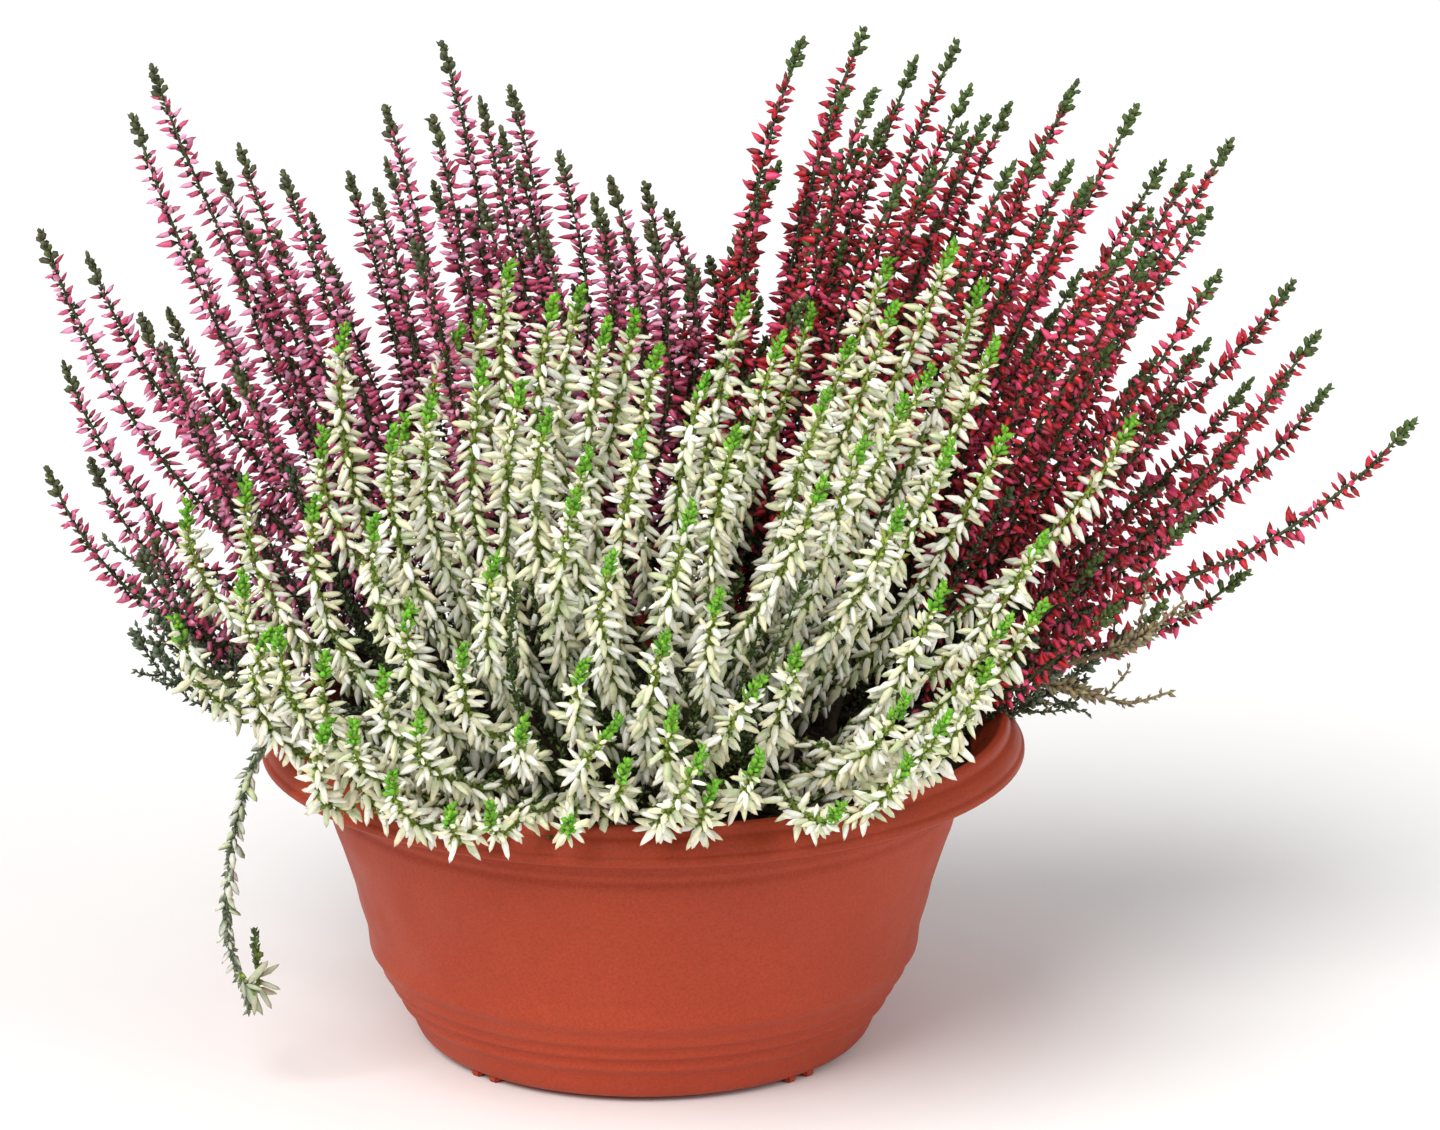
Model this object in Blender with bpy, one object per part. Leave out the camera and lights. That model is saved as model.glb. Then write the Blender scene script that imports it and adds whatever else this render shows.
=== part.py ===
"""Potted heather: a white, a pink and a red heather in a round planter bowl.

Metres, +Z up. The origin is the centre of the bowl's underside, which stands on z = 0.
The white heather grows at the front, towards -Y, with +X to the right.
"""

import math

import bmesh
import bpy
import numpy as np
from mathutils import Matrix, Vector

MM = 0.001
UP = np.array((0.0, 0.0, 1.0))
GAP = 0.3 * MM  # air left between neighbouring pieces
GOLDEN = 0.618034  # step of an evenly spread sequence, which stands in for random draws
FIRST_TURN = 0.3  # where that sequence starts

# The bowl is turned round +Z. Its profile is (radius, height) in mm.
BOWL_SIDES = 32
BOWL_UNDERSIDE = ((0, 0), (56, 0), (57, 1.4), (66.4, 1.4), (69.8, 5.6))
BOWL_RIBS = (
    (71.6, 10.4), (74.2, 12.4), (73.9, 15.4), (76.9, 17.2), (76.8, 20.0), (79.6, 21.8), (79.9, 25.0),
)
BOWL_WALL = ((83.2, 28.2), (83.9, 36), (87.6, 50), (91.6, 62.5), (93.6, 68))
BOWL_BEADS = ((95.9, 76.2), (95.3, 78.2), (96.6, 80.0), (96.9, 84.0))
BOWL_FOLD = ((105.5, 94.0), (112.7, 91.4), (112.9, 88.8), (115, 88.8), (114.9, 91.6), (110.6, 97.0))
BOWL_EDGE = ((109.6, 99.4), (108.2, 100), (106.6, 99.2))
BOWL_INSIDE = ((97.4, 88), (94.4, 80), (81.2, 30), (69, 8), (64, 4.6), (0, 4.6))

# Four pairs of small feet stand under the bowl's lower edge.
FOOT_PAIRS = 4
FOOT_WIDTH = 4.0 * MM
FOOT_NOTCH = 3.4 * MM
FOOT_HEIGHT = 3.0 * MM
FOOT_INNER = 60.0 * MM
FOOT_OUTER = 67.4 * MM

SOIL_GAP = 0.42 * MM  # between the soil and the bowl's wall
SOIL_FLOOR = 5.0 * MM
SOIL_FLOOR_RADIUS = 62 * MM
SOIL_TOP = 90.0 * MM
SOIL_TOP_FLARE = 1.5 * MM  # how far the soil spreads in the flare of the rim
SOIL_LUMP = 1.6 * MM
SOIL_LEVEL_EDGE = 20.0 * MM  # width over which the lumps die out towards the wall
SOIL_LEVEL_FROM = 92.0 * MM
SOIL_RINGS = (70 * MM, 40 * MM)
HOLE_SIDES = 5
HOLE_RADIUS = 3.7 * MM
HOLE_DEPTH = 12.0 * MM
HOLE_CUT_ABOVE = 10.0 * MM

# The rim as a round tube, which every shoot passes at its own reach
RIM_TUBE_RADIUS = 107.5 * MM
RIM_TUBE_HEIGHT = 93.0 * MM
RIM_TUBE_THICKNESS = 9.2 * MM

# Tips are listed as (across, up) in mm where the line of sight from EYE crosses the upright plane
# through the bowl's axis. Each tip then slides along that line into its plant's dome.
EYE = np.array((23.0, -1922.0, 700.0)) * MM
DEPTH_USED = 0.85  # share of a dome's depth over which its tips are spread
LEAST_SPREAD = 38 * MM  # how far a tip at a dome's outline may still stand before or behind it

# For every plant: its crown on the soil, the share of its lean that a shoot keeps at its tip, how
# far all its tips tilt in x and y, the centre and half axes of its dome, its flowers' reach from
# the stem, the share of a shoot that is bare and the height of a level of flowers. The tips of a
# plant with near_side stand on the near side of its dome. Its other_tips, (x, y, z), fill its far
# side and the middle of the bowl. Places are in mm.
PLANTS = {
    "white": {
        "crown": (0, -44),
        "kept_lean": 0.25,
        "tilt": (0.27, 0),
        "dome": ((3, -40, 85), (150, 100, 158)),
        "near_side": True,
        "reach": 7.4 * MM,
        "bare": 0.22,
        "level": 14.5 * MM,
        "flower": (0.87, 0.84, 0.70),
        "leaf": (0.16, 0.42, 0.03),
        "stem": (0.18, 0.15, 0.05),
        "tips": (
            (-140, 129), (-136, 165), (-118, 172), (-98, 166), (-88, 219), (-95, 187), (-74, 188),
            (-109, 125), (-80, 160), (-70, 133), (-39, 238), (-26, 228), (-10, 221), (-47, 208), (5, 213),
            (-28, 193), (-20, 168), (31, 228), (19, 204), (41, 216), (15, 164), (-9, 149), (-44, 148),
            (-54, 120), (-18, 115), (23, 137), (55, 199), (72, 240), (92, 244), (105, 215), (78, 197),
            (92, 183), (108, 187), (54, 172), (77, 163), (146, 191), (120, 155), (90, 139), (120, 134),
            (46, 119), (-87, 96), (-67, 99), (-46, 70), (-22, 66), (9, 100), (35, 86), (60, 70),
            (79, 104), (0, 186), (7, 124), (-36, 97), (-5, 84), (36, 110),
        ),
        "other_tips": ((-70, -4, 192), (-22, -2, 204), (24, 2, 198), (68, -6, 196)),
    },
    "pink": {
        "crown": (-38, 32),
        "kept_lean": 0.08,
        "tilt": (-0.28, 0),
        "dome": ((-76, 36, 85), (122, 100, 212)),
        "near_side": False,
        "reach": 5.6 * MM,
        "bare": 0.26,
        "level": 19 * MM,
        "flower": (0.62, 0.10, 0.27),
        "leaf": (0.05, 0.09, 0.03),
        "stem": (0.06, 0.05, 0.03),
        "tips": (
            (-177, 247), (-163, 240), (-171, 207), (-177, 175), (-164, 178), (-143, 297), (-149, 282),
            (-124, 267), (-105, 265), (-97, 252), (-78, 260), (-75, 285), (-58, 304), (-61, 282),
            (-38, 290), (-24, 271), (-14, 258), (1, 262), (-34, 248), (-67, 244), (-92, 238),
            (-148, 222), (-111, 218), (-130, 191), (-150, 148), (-73, 222), (-47, 256), (5, 236),
            (-118, 238),
        ),
        "other_tips": (
            (-150, 90, 190), (-105, 128, 175), (-55, 138, 190), (-10, 128, 170), (-80, 105, 245),
            (-6, 46, 196), (-26, 84, 206),
        ),
    },
    "red": {
        "crown": (38, 32),
        "kept_lean": 0.35,
        "tilt": (0.38, 0),
        "dome": ((104, 36, 85), (130, 100, 216)),
        "near_side": False,
        "reach": 5.6 * MM,
        "bare": 0.26,
        "level": 19 * MM,
        "flower": (0.52, 0.02, 0.06),
        "leaf": (0.04, 0.10, 0.03),
        "stem": (0.09, 0.04, 0.03),
        "tips": (
            (47, 305), (65, 308), (92, 304), (68, 290), (80, 299), (101, 282), (109, 268), (127, 292),
            (145, 285), (153, 268), (173, 275), (167, 254), (192, 232), (200, 217), (203, 200),
            (180, 202), (229, 190), (167, 214), (156, 194), (150, 240), (180, 143), (156, 134),
            (151, 172), (40, 268), (76, 262), (60, 241), (108, 232), (129, 235), (88, 252), (139, 214),
        ),
        "other_tips": (
            (40, 125, 175), (85, 138, 190), (130, 122, 175), (170, 85, 190), (100, 105, 250),
            (22, 60, 192), (20, 96, 182),
        ),
    },
}

# Sprays: a main stem and its side shoots
SPRAY_SIZE = 3
ROOT_REACH = 38 * MM  # how far from its crown a spray that lies level has its root
ROOT_SPACING = 11.5 * MM
ROOT_LIMIT = 87 * MM
ROOT_ROUNDS = 200
ROOT_PUSH = 0.3
STEM_RISE = 4 * MM  # height above the soil where a main stem starts to lean
FORK_STARTS = (14 * MM, 24 * MM)  # where the side shoots leave the main stem
FORK_SPREAD = math.radians(34)
LEAN_GAIN = 1.35
LEAN_LIMIT = math.radians(72)
RIGHTED_LEAN = math.radians(60)  # lean up to which a shoot rights itself
ARC_START = 0.30
ARC_END = 0.48

# Bending the shoots clear of each other, of the bowl and of the soil
SAMPLES = 25
CLEARING_ROUNDS = 80
SMOOTHING_ROUNDS = 3
PUSH_SHARE = 0.22
BOWL_PUSH_SHARE = 0.6
BEND_KEPT = 0.995
FORKED_SHARE = 0.3
ROOTED_SHARE, FREED_SHARE = 0.02, 0.14  # a shoot is held at its root and free past these shares
STEM_ROOM = 4.4 * MM
SPARE_ROOM = 0.4 * MM
SOIL_ROOM = 2.0 * MM
ROOM_MARGIN = 0.04  # share of a shoot below its first flowers where they already need their room
LEVEL_ROOM = 0.75  # how much of its own height on either side of its middle a level keeps clear

# Three-sided stems: their radii, and the points on their sides
MAIN_STEM = 2.5 * MM
SIDE_STEM = 1.1 * MM
FLOWER_STEM = 2.0 * MM
TIP_STEM = 1.3 * MM
TIP_TAPER = 0.8
STEM_SIDES = 3
LEVEL_TWIST = math.radians(30)
NOD = 0.3  # a bud's point lies below the middle of its level, because the buds nod
LEAF_REACH = 3.0 * MM
LEAST_REACH = 1.6 * MM
LEAFY_FROM, LEAFY_TO = 0.91, 0.965  # shares of a shoot between which its leafy tip spreads

# An old shoot hangs over the rim on the left, and dry twigs hang low on the right. mm, by eye.
OLD_SHOOT_ROUTE = (
    (-68, -36, 94), (-78, -43, 106), (-93, -50, 114), (-108, -55, 110), (-117, -57, 92),
    (-121, -57, 72), (-122, -57, 50), (-116, -57, 26),
)
OLD_SHOOT_REACH = 3.8 * MM
OLD_GROWTH_BARE = 0.2
OLD_SHOOT_LEVEL = 13 * MM
TWIG_ROUTES = (
    ((80, -4, 94), (94, -1, 107), (112, 1, 111), (130, 3, 106), (146, 3, 102), (158, 0, 106)),
    ((112, 1, 111), (131, -3, 117), (148, -8, 125), (161, -12, 138)),
)
TWIG_STEM, TWIG_SIDE_STEM = 1.6 * MM, 0.8 * MM
TWIG_TAPER = 0.6

SLOTS = ("stem", "flower", "leaf")
STEM_SLOT, FLOWER_SLOT, LEAF_SLOT = range(3)


def clear_scene():
    """Remove what the scene holds."""
    for thing in list(bpy.data.objects):
        bpy.data.objects.remove(thing, do_unlink=True)


def material(name, colour, roughness):
    """Return a plain Principled material."""
    made = bpy.data.materials.new(name)
    made.use_nodes = True
    shader = made.node_tree.nodes["Principled BSDF"]
    shader.inputs["Base Color"].default_value = (*colour, 1)
    shader.inputs["Roughness"].default_value = roughness
    shader.inputs["Metallic"].default_value = 0
    made.diffuse_color = (*colour, 1)
    return made


def add_object(name, mesh, materials=()):
    """Link a new object with the mesh and its materials."""
    for one in materials:
        mesh.materials.append(one)
    thing = bpy.data.objects.new(name, mesh)
    bpy.context.scene.collection.objects.link(thing)
    return thing


def mesh_of(name, points, faces, slots=None):
    """Return a mesh of the points and faces, with a material slot for each face."""
    mesh = bpy.data.meshes.new(name)
    mesh.from_pydata([tuple(point) for point in points], [], faces)
    if slots:
        mesh.polygons.foreach_set("material_index", slots)
    mesh.update()
    return mesh


def combine(thing, others, operation):
    """Join the other objects to the first, or cut them from it, and remove them."""
    group = bpy.data.collections.new(thing.name + "_pieces")
    bpy.context.scene.collection.children.link(group)
    for other in others:
        bpy.context.scene.collection.objects.unlink(other)
        group.objects.link(other)
    modifier = thing.modifiers.new("combine", "BOOLEAN")
    modifier.operation = operation
    modifier.operand_type = "COLLECTION"
    modifier.collection = group
    modifier.solver = "EXACT"
    bpy.context.view_layer.update()
    result = bpy.data.meshes.new_from_object(thing.evaluated_get(bpy.context.evaluated_depsgraph_get()))
    thing.modifiers.remove(modifier)
    thing.data = result
    for other in others:
        bpy.data.objects.remove(other, do_unlink=True)
    bpy.data.collections.remove(group)


def in_metres(profile):
    """Return a profile that is given in mm in metres."""
    return [(radius * MM, height * MM) for radius, height in profile]


def turned(name, profile):
    """Turn a profile of (radius, height) round +Z. Its ends lie on the axis."""
    shape = bmesh.new()
    line = [shape.verts.new((radius, 0, height)) for radius, height in profile]
    edges = [shape.edges.new(pair) for pair in zip(line, line[1:])]
    bmesh.ops.spin(
        shape,
        geom=line + edges,
        axis=(0, 0, 1),
        cent=(0, 0, 0),
        angle=2 * math.pi,
        steps=BOWL_SIDES,
        use_merge=True,
    )
    bmesh.ops.remove_doubles(shape, verts=shape.verts, dist=0.01 * MM)
    bmesh.ops.recalc_face_normals(shape, faces=shape.faces)
    mesh = bpy.data.meshes.new(name)
    shape.to_mesh(mesh)
    shape.free()
    return mesh


def make_foot(name, angle, offset):
    """Make one small foot: a block that narrows up into the bowl's underside."""
    half = FOOT_WIDTH / 2
    turn = Matrix.Rotation(angle, 3, "Z")
    levels = ((0, FOOT_INNER, FOOT_OUTER), (FOOT_HEIGHT, FOOT_INNER + 1 * MM, FOOT_OUTER - 0.8 * MM))
    corners = [
        turn @ Vector((x, y + offset, height))
        for height, inner, outer in levels
        for x, y in ((inner, -half), (outer, -half), (outer, half), (inner, half))
    ]
    faces = [(3, 2, 1, 0), (4, 5, 6, 7), (0, 1, 5, 4), (1, 2, 6, 5), (2, 3, 7, 6), (3, 0, 4, 7)]
    return add_object(name, mesh_of(name, corners, faces))


def make_bowl():
    """Make the planter bowl: a turned shell with a folded rim, beads, ribs and small feet."""
    profile = BOWL_UNDERSIDE + BOWL_RIBS + BOWL_WALL + BOWL_BEADS + BOWL_FOLD + BOWL_EDGE + BOWL_INSIDE
    terracotta = material("pot", (0.44, 0.075, 0.035), 0.5)
    bowl = add_object("pot", turned("pot", in_metres(profile)), [terracotta])
    feet = []
    for pair in range(FOOT_PAIRS):
        angle = math.radians(45) + pair * 2 * math.pi / FOOT_PAIRS
        for side in (-1, 1):
            offset = side * (FOOT_NOTCH + FOOT_WIDTH) / 2
            feet.append(make_foot("foot_%d" % len(feet), angle, offset))
    combine(bowl, feet, "UNION")
    bowl.data.shade_smooth()
    bowl.data.set_sharp_from_angle(angle=math.radians(35))


def soil_height(x, y):
    """Return the height of the lumpy soil at a place. It is level at the bowl's wall."""
    lumps = math.sin(x / (9 * MM) + 0.7) * math.cos(y / (11 * MM)) + 0.6 * math.sin((x + y) / (17 * MM))
    inward = (SOIL_LEVEL_FROM - math.hypot(x, y)) / SOIL_LEVEL_EDGE
    return SOIL_TOP + SOIL_LUMP * lumps * min(1.0, max(0.0, inward))


def make_hole_cutter(name, root):
    """Make the cutter of the plain hole in which one stem stands."""
    shape = bmesh.new()
    bmesh.ops.create_cone(
        shape,
        cap_ends=True,
        segments=HOLE_SIDES,
        radius1=HOLE_RADIUS,
        radius2=HOLE_RADIUS,
        depth=HOLE_DEPTH + HOLE_CUT_ABOVE,
        matrix=Matrix.Translation((root[0], root[1], root[2] + (HOLE_CUT_ABOVE - HOLE_DEPTH) / 2)),
    )
    mesh = bpy.data.meshes.new(name)
    shape.to_mesh(mesh)
    shape.free()
    return add_object(name, mesh)


def make_soil(roots):
    """Make the soil, which fills the bowl and has a plain hole for each main stem."""
    side = [(radius - SOIL_GAP, height) for radius, height in in_metres(BOWL_INSIDE[:4])]
    top = [(0, SOIL_TOP)] + [(radius, SOIL_TOP) for radius in reversed(SOIL_RINGS)]
    top.append((side[0][0] + SOIL_TOP_FLARE, SOIL_TOP))
    mesh = turned("soil", top + side + [(SOIL_FLOOR_RADIUS, SOIL_FLOOR), (0, SOIL_FLOOR)])
    for vertex in mesh.vertices:
        if vertex.co.z > SOIL_TOP - 0.1 * MM:
            vertex.co.z = soil_height(vertex.co.x, vertex.co.y)
    soil = add_object("soil", mesh, [material("soil", (0.018, 0.013, 0.010), 0.95)])
    cutters = [make_hole_cutter("hole_%d" % number, root) for number, root in enumerate(roots)]
    combine(soil, cutters, "DIFFERENCE")


def unit(vector):
    """Return the vector at length one."""
    return vector / np.linalg.norm(vector)


def tip_in_dome(seen, plant, turn):
    """Slide a tip along its line of sight into its plant's dome, to a depth that its turn gives."""
    centre, axes = np.array(plant["dome"]) * MM
    start = (EYE - centre) / axes
    sight = np.array((seen[0] * MM, 0, seen[1] * MM)) - EYE
    ray = sight / axes
    square, middle = ray @ ray, start @ ray
    inside = max(0.0, middle * middle - square * (start @ start - 1))
    half = math.sqrt(inside) / square * np.linalg.norm(sight)
    spread = DEPTH_USED * (2 * (turn % 1.0) - 1)
    if plant["near_side"] and half > LEAST_SPREAD:
        spread = -1.0
    depth = spread * max(half, LEAST_SPREAD)
    return EYE + sight * (-middle / square) + unit(sight) * depth


def tips_of(plant):
    """Return the places of the plant's tips."""
    tips = [tip_in_dome(seen, plant, FIRST_TURN + GOLDEN * n) for n, seen in enumerate(plant["tips"])]
    return tips + [np.array(tip) * MM for tip in plant["other_tips"]]


def shared_out(tips, crown):
    """Share the tips out among sprays: the outermost tip left takes its nearest neighbours."""
    left = list(tips)
    sprays = []
    while left:
        outermost = max(left, key=lambda tip: np.linalg.norm(tip[:2] - crown))
        left.sort(key=lambda tip: np.linalg.norm(tip - outermost))
        sprays.append(left[:SPRAY_SIZE])
        left = left[SPRAY_SIZE:]
    return sprays


def place_roots(sprays, fixed):
    """Stand each root near its plant's crown, towards its tips, with room between all roots."""
    roots = []
    for spray in sprays:
        crown = np.array((*PLANTS[spray["plant"]]["crown"], SOIL_TOP / MM)) * MM
        lean, aside = lean_of(np.mean(spray["tips"], axis=0) - crown)
        roots.append((crown + aside * ROOT_REACH * math.sin(lean))[:2])
    for _ in range(ROOT_ROUNDS):
        for one in range(len(roots)):
            apart = roots[one] - np.array(roots + fixed)
            distance = np.hypot(apart[:, 0], apart[:, 1])
            near = (distance < ROOT_SPACING) & (distance > 0)
            push = (ROOT_SPACING - distance[near]) / distance[near]
            roots[one] = roots[one] + ROOT_PUSH * (apart[near] * push[:, None]).sum(axis=0)
            roots[one] = roots[one] * min(1.0, ROOT_LIMIT / np.linalg.norm(roots[one]))
    for spray, root in zip(sprays, roots):
        x, y = np.round(root, 6)
        spray["root"] = np.array((x, y, soil_height(x, y)))


def lean_of(across):
    """Return how far a direction leans from upright, and the level direction in which it leans."""
    level = np.array((across[0], across[1], 0.0)) + 1e-9
    return math.atan2(np.linalg.norm(level), across[2]), unit(level)


def tip_direction(across, plant):
    """Return the way a shoot's tip points: it rights itself, but not all the way, and tilts."""
    lean, aside = lean_of(across)
    lean = plant["kept_lean"] * min(lean, RIGHTED_LEAN) + max(0.0, lean - RIGHTED_LEAN)
    return unit(aside * math.sin(lean) + UP * math.cos(lean) + (*plant["tilt"], 0))


def arc(start, first, tip, last):
    """Return points of a shoot that leaves in one direction and reaches its tip in another."""
    length = np.linalg.norm(tip - start)
    handles = (start, start + first * length * ARC_START, tip - last * length * ARC_END, tip)
    t = np.linspace(0, 1, SAMPLES)[:, None]
    return sum(math.comb(3, n) * t**n * (1 - t) ** (3 - n) * handle for n, handle in enumerate(handles))


def lengths_along(points):
    """Return each point's distance along the line."""
    steps = np.linalg.norm(np.diff(points, axis=0), axis=1)
    return np.concatenate(((0.0,), np.cumsum(steps)))


def at_distance(points, distance):
    """Return the place at a distance along a line of points."""
    along = lengths_along(points)
    return np.array([np.interp(distance, along, points[:, axis]) for axis in range(3)])


def draw_lines(spray):
    """Give a spray the middle lines of its shoots: first its main stem, to its middlemost tip."""
    start = spray["root"] + UP * STEM_RISE
    middle = np.mean(spray["tips"], axis=0)
    tips = sorted(spray["tips"], key=lambda tip: np.linalg.norm(tip - middle))
    lean, aside = lean_of(tips[0] - start)
    lean = min(LEAN_GAIN * lean, LEAN_LIMIT)
    plant = PLANTS[spray["plant"]]
    first = aside * math.sin(lean) + UP * math.cos(lean)
    main = arc(start, first, tips[0], tip_direction(tips[0] - start, plant))
    spray["lines"] = [main]
    for fork, tip in zip(FORK_STARTS, tips[1:]):
        leave = at_distance(main, fork)
        along = unit(at_distance(main, fork + STEM_RISE) - leave)
        aside = tip - leave
        aside = unit(aside - (aside @ along) * along)
        first = along * math.cos(FORK_SPREAD) + aside * math.sin(FORK_SPREAD)
        spray["lines"].append(arc(leave, first, tip, tip_direction(tip - leave, plant)))


def through(route):
    """Return points of a smooth line through a route that is given in mm."""
    route = np.array(route) * MM
    ends = np.vstack((2 * route[0] - route[1], route, 2 * route[-1] - route[-2]))
    points = []
    for place in np.linspace(0, len(route) - 1, SAMPLES):
        leg = min(int(place), len(route) - 2)
        t = place - leg
        a, b, c, d = ends[leg : leg + 4]
        points.append(b + 0.5 * t * (c - a + t * (2 * a - 5 * b + 4 * c - d + t * (3 * (b - c) + d - a))))
    return np.array(points)


def room_along(bare, reach):
    """Return the room that each point of a shoot's line needs round it."""
    share = np.linspace(0, 1, SAMPLES)
    room = np.full(SAMPLES, STEM_ROOM)
    room[share >= bare - ROOM_MARGIN] = reach + SPARE_ROOM
    room[share > LEAFY_FROM + ROOM_MARGIN / 2] = min(reach, LEAF_REACH) + SPARE_ROOM
    return room


def keep_off_bowl(lines, room):
    """Return how far the points must move to clear the rim and the soil."""
    radius = np.maximum(np.hypot(lines[..., 0], lines[..., 1]), 0.01 * MM)
    across, above = radius - RIM_TUBE_RADIUS, lines[..., 2] - RIM_TUBE_HEIGHT
    distance = np.maximum(np.hypot(across, above), 0.01 * MM)
    short = np.maximum(0, RIM_TUBE_THICKNESS + room - distance) / distance
    low = np.maximum(0, SOIL_TOP + SOIL_ROOM + room - lines[..., 2])
    move = np.empty_like(lines)
    move[..., 0] = lines[..., 0] / radius * across * short
    move[..., 1] = lines[..., 1] / radius * across * short
    move[..., 2] = above * short + np.where(radius < RIM_TUBE_RADIUS, low, 0)
    return move


def bend_clear(sprays):
    """Bend the shoots apart until each has the room that its flowers need."""
    lines = np.array([line for spray in sprays for line in spray["lines"]])
    owner = np.array([number for number, spray in enumerate(sprays) for _ in spray["lines"]])
    room = np.array([sprays[number]["room"] for number in owner])
    held = np.array([sprays[number]["held"] for number in owner])
    share = np.linspace(0, 1, SAMPLES)
    forked = share < FORKED_SHARE
    apart_only = ~(forked[:, None, None] | forked[None, None, :])
    free = np.clip((share - ROOTED_SHARE) / FREED_SHARE, 0, 1)[None, :, None] * ~held[:, None, None]
    drawn = lines.copy()
    for _ in range(CLEARING_ROUNDS):
        push = np.zeros_like(lines)
        low, high = lines.min(axis=1) - room.max(), lines.max(axis=1) + room.max()
        for one, line in enumerate(lines):
            near = np.all((low <= high[one]) & (high >= low[one]), axis=1)
            near[one] = False
            between = line[:, None, None, :] - lines[near][None]
            distance = np.sqrt((between**2).sum(axis=3))
            short = np.maximum(0, room[one][:, None, None] + room[near][None] - distance)
            short[:, owner[near] == owner[one]] *= apart_only
            push[one] = (between * (short / np.maximum(distance, 0.01 * MM))[..., None]).sum(axis=(1, 2))
        step = PUSH_SHARE * push + BOWL_PUSH_SHARE * keep_off_bowl(lines, room)
        bend = (lines + step * free - drawn) * BEND_KEPT
        for _ in range(SMOOTHING_ROUNDS):
            bend[:, 1:-1] = 0.25 * bend[:, :-2] + 0.5 * bend[:, 1:-1] + 0.25 * bend[:, 2:]
        lines = drawn + bend
        carry_side_shoots(lines, owner, held)
    for number, spray in enumerate(sprays):
        spray["lines"] = list(np.round(lines[owner == number], 6))


def carry_side_shoots(lines, owner, held):
    """Let the side shoots follow the forks of their main stem."""
    for number in range(owner[-1] + 1):
        main, *sides = np.flatnonzero(owner == number)
        if held[main]:
            continue
        for side, fork in zip(sides, FORK_STARTS):
            shift = at_distance(lines[main], fork) - lines[side][0]
            lines[side] += shift * np.linspace(1, 0, SAMPLES)[:, None] ** 2


def halved(values):
    """Return the values along a line with the mean of each neighbouring pair between them."""
    places = np.arange(0, SAMPLES - 0.5, 0.5)
    return np.array([np.interp(place, range(SAMPLES), values) for place in places])


def limit_reach(sprays):
    """Give each shoot the reach that it may have along its line, so that no two sprays meet."""
    owner = np.array([number for number, spray in enumerate(sprays) for _ in spray["lines"]])
    rooms = np.array([halved(sprays[number]["room"]) for number in owner])
    lines = np.array([line for spray in sprays for line in spray["lines"]])
    lines = np.array([np.stack([halved(line[:, axis]) for axis in range(3)], axis=1) for line in lines])
    reaches = []
    for one, line in enumerate(lines):
        other = owner != owner[one]
        between = line[:, None, :] - lines[other].reshape(1, -1, 3)
        distance = np.sqrt((between**2).sum(axis=2))
        share = rooms[one][:, None] / (rooms[one][:, None] + rooms[other].reshape(1, -1))
        reaches.append(np.minimum(rooms[one], ((distance - 3 * GAP) * share).min(axis=1)))
    for number, spray in enumerate(sprays):
        spray["reaches"] = [reaches[one] for one in np.flatnonzero(owner == number)]


def frames_along(points):
    """Return two directions square to the line at each point, carried along it without a twist."""
    tangents = np.gradient(points, axis=0)
    side = unit(np.cross(tangents[0], (0.31, 0.92, 0.11)))
    frames = []
    for tangent in tangents:
        tangent = unit(tangent)
        side = unit(side - (side @ tangent) * tangent)
        frames.append((side, np.cross(tangent, side)))
    return frames


def stem_mesh(name, rings, radii, slots, reaches):
    """Return a three-sided stem whose sides rise to a pointed bud or leaf on each level.

    rings are the middles of the level's edges, the last one the stem's point, and radii their sizes.
    slots says for each level what it bears, and reaches how far its points stand from the middle.
    """
    points, faces, face_slots = [], [(0, 2, 1)], [STEM_SLOT]
    for number, (centre, radius, frame) in enumerate(zip(rings[:-1], radii, frames_along(rings))):
        for corner in range(STEM_SIDES):
            angle = number * LEVEL_TWIST + corner * 2 * math.pi / STEM_SIDES
            points.append(centre + radius * (math.cos(angle) * frame[0] + math.sin(angle) * frame[1]))
    points.append(rings[-1])
    for level in range(len(rings) - 2):
        heart = rings[level] + (rings[level + 1] - rings[level]) * NOD
        middle = (rings[level] + rings[level + 1]) / 2
        for corner in range(STEM_SIDES):
            beside = (corner + 1) % STEM_SIDES
            a, b = STEM_SIDES * level + corner, STEM_SIDES * level + beside
            c, d = b + STEM_SIDES, a + STEM_SIDES
            if slots[level] == STEM_SLOT:
                faces += [(a, b, d), (b, c, d)]
                face_slots += [STEM_SLOT] * 2
                continue
            outward = unit(np.mean([points[index] for index in (a, b, c, d)], axis=0) - middle)
            points.append(heart + outward * reaches[level])
            top = len(points) - 1
            faces += [(a, b, top), (b, c, top), (c, d, top), (d, a, top)]
            face_slots += [slots[level]] * 4
    last = STEM_SIDES * (len(rings) - 2)
    point = last + STEM_SIDES
    faces += [(last + corner, last + (corner + 1) % STEM_SIDES, point) for corner in range(STEM_SIDES)]
    face_slots += [LEAF_SLOT] * STEM_SIDES
    return mesh_of(name, points, faces, face_slots)


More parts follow.
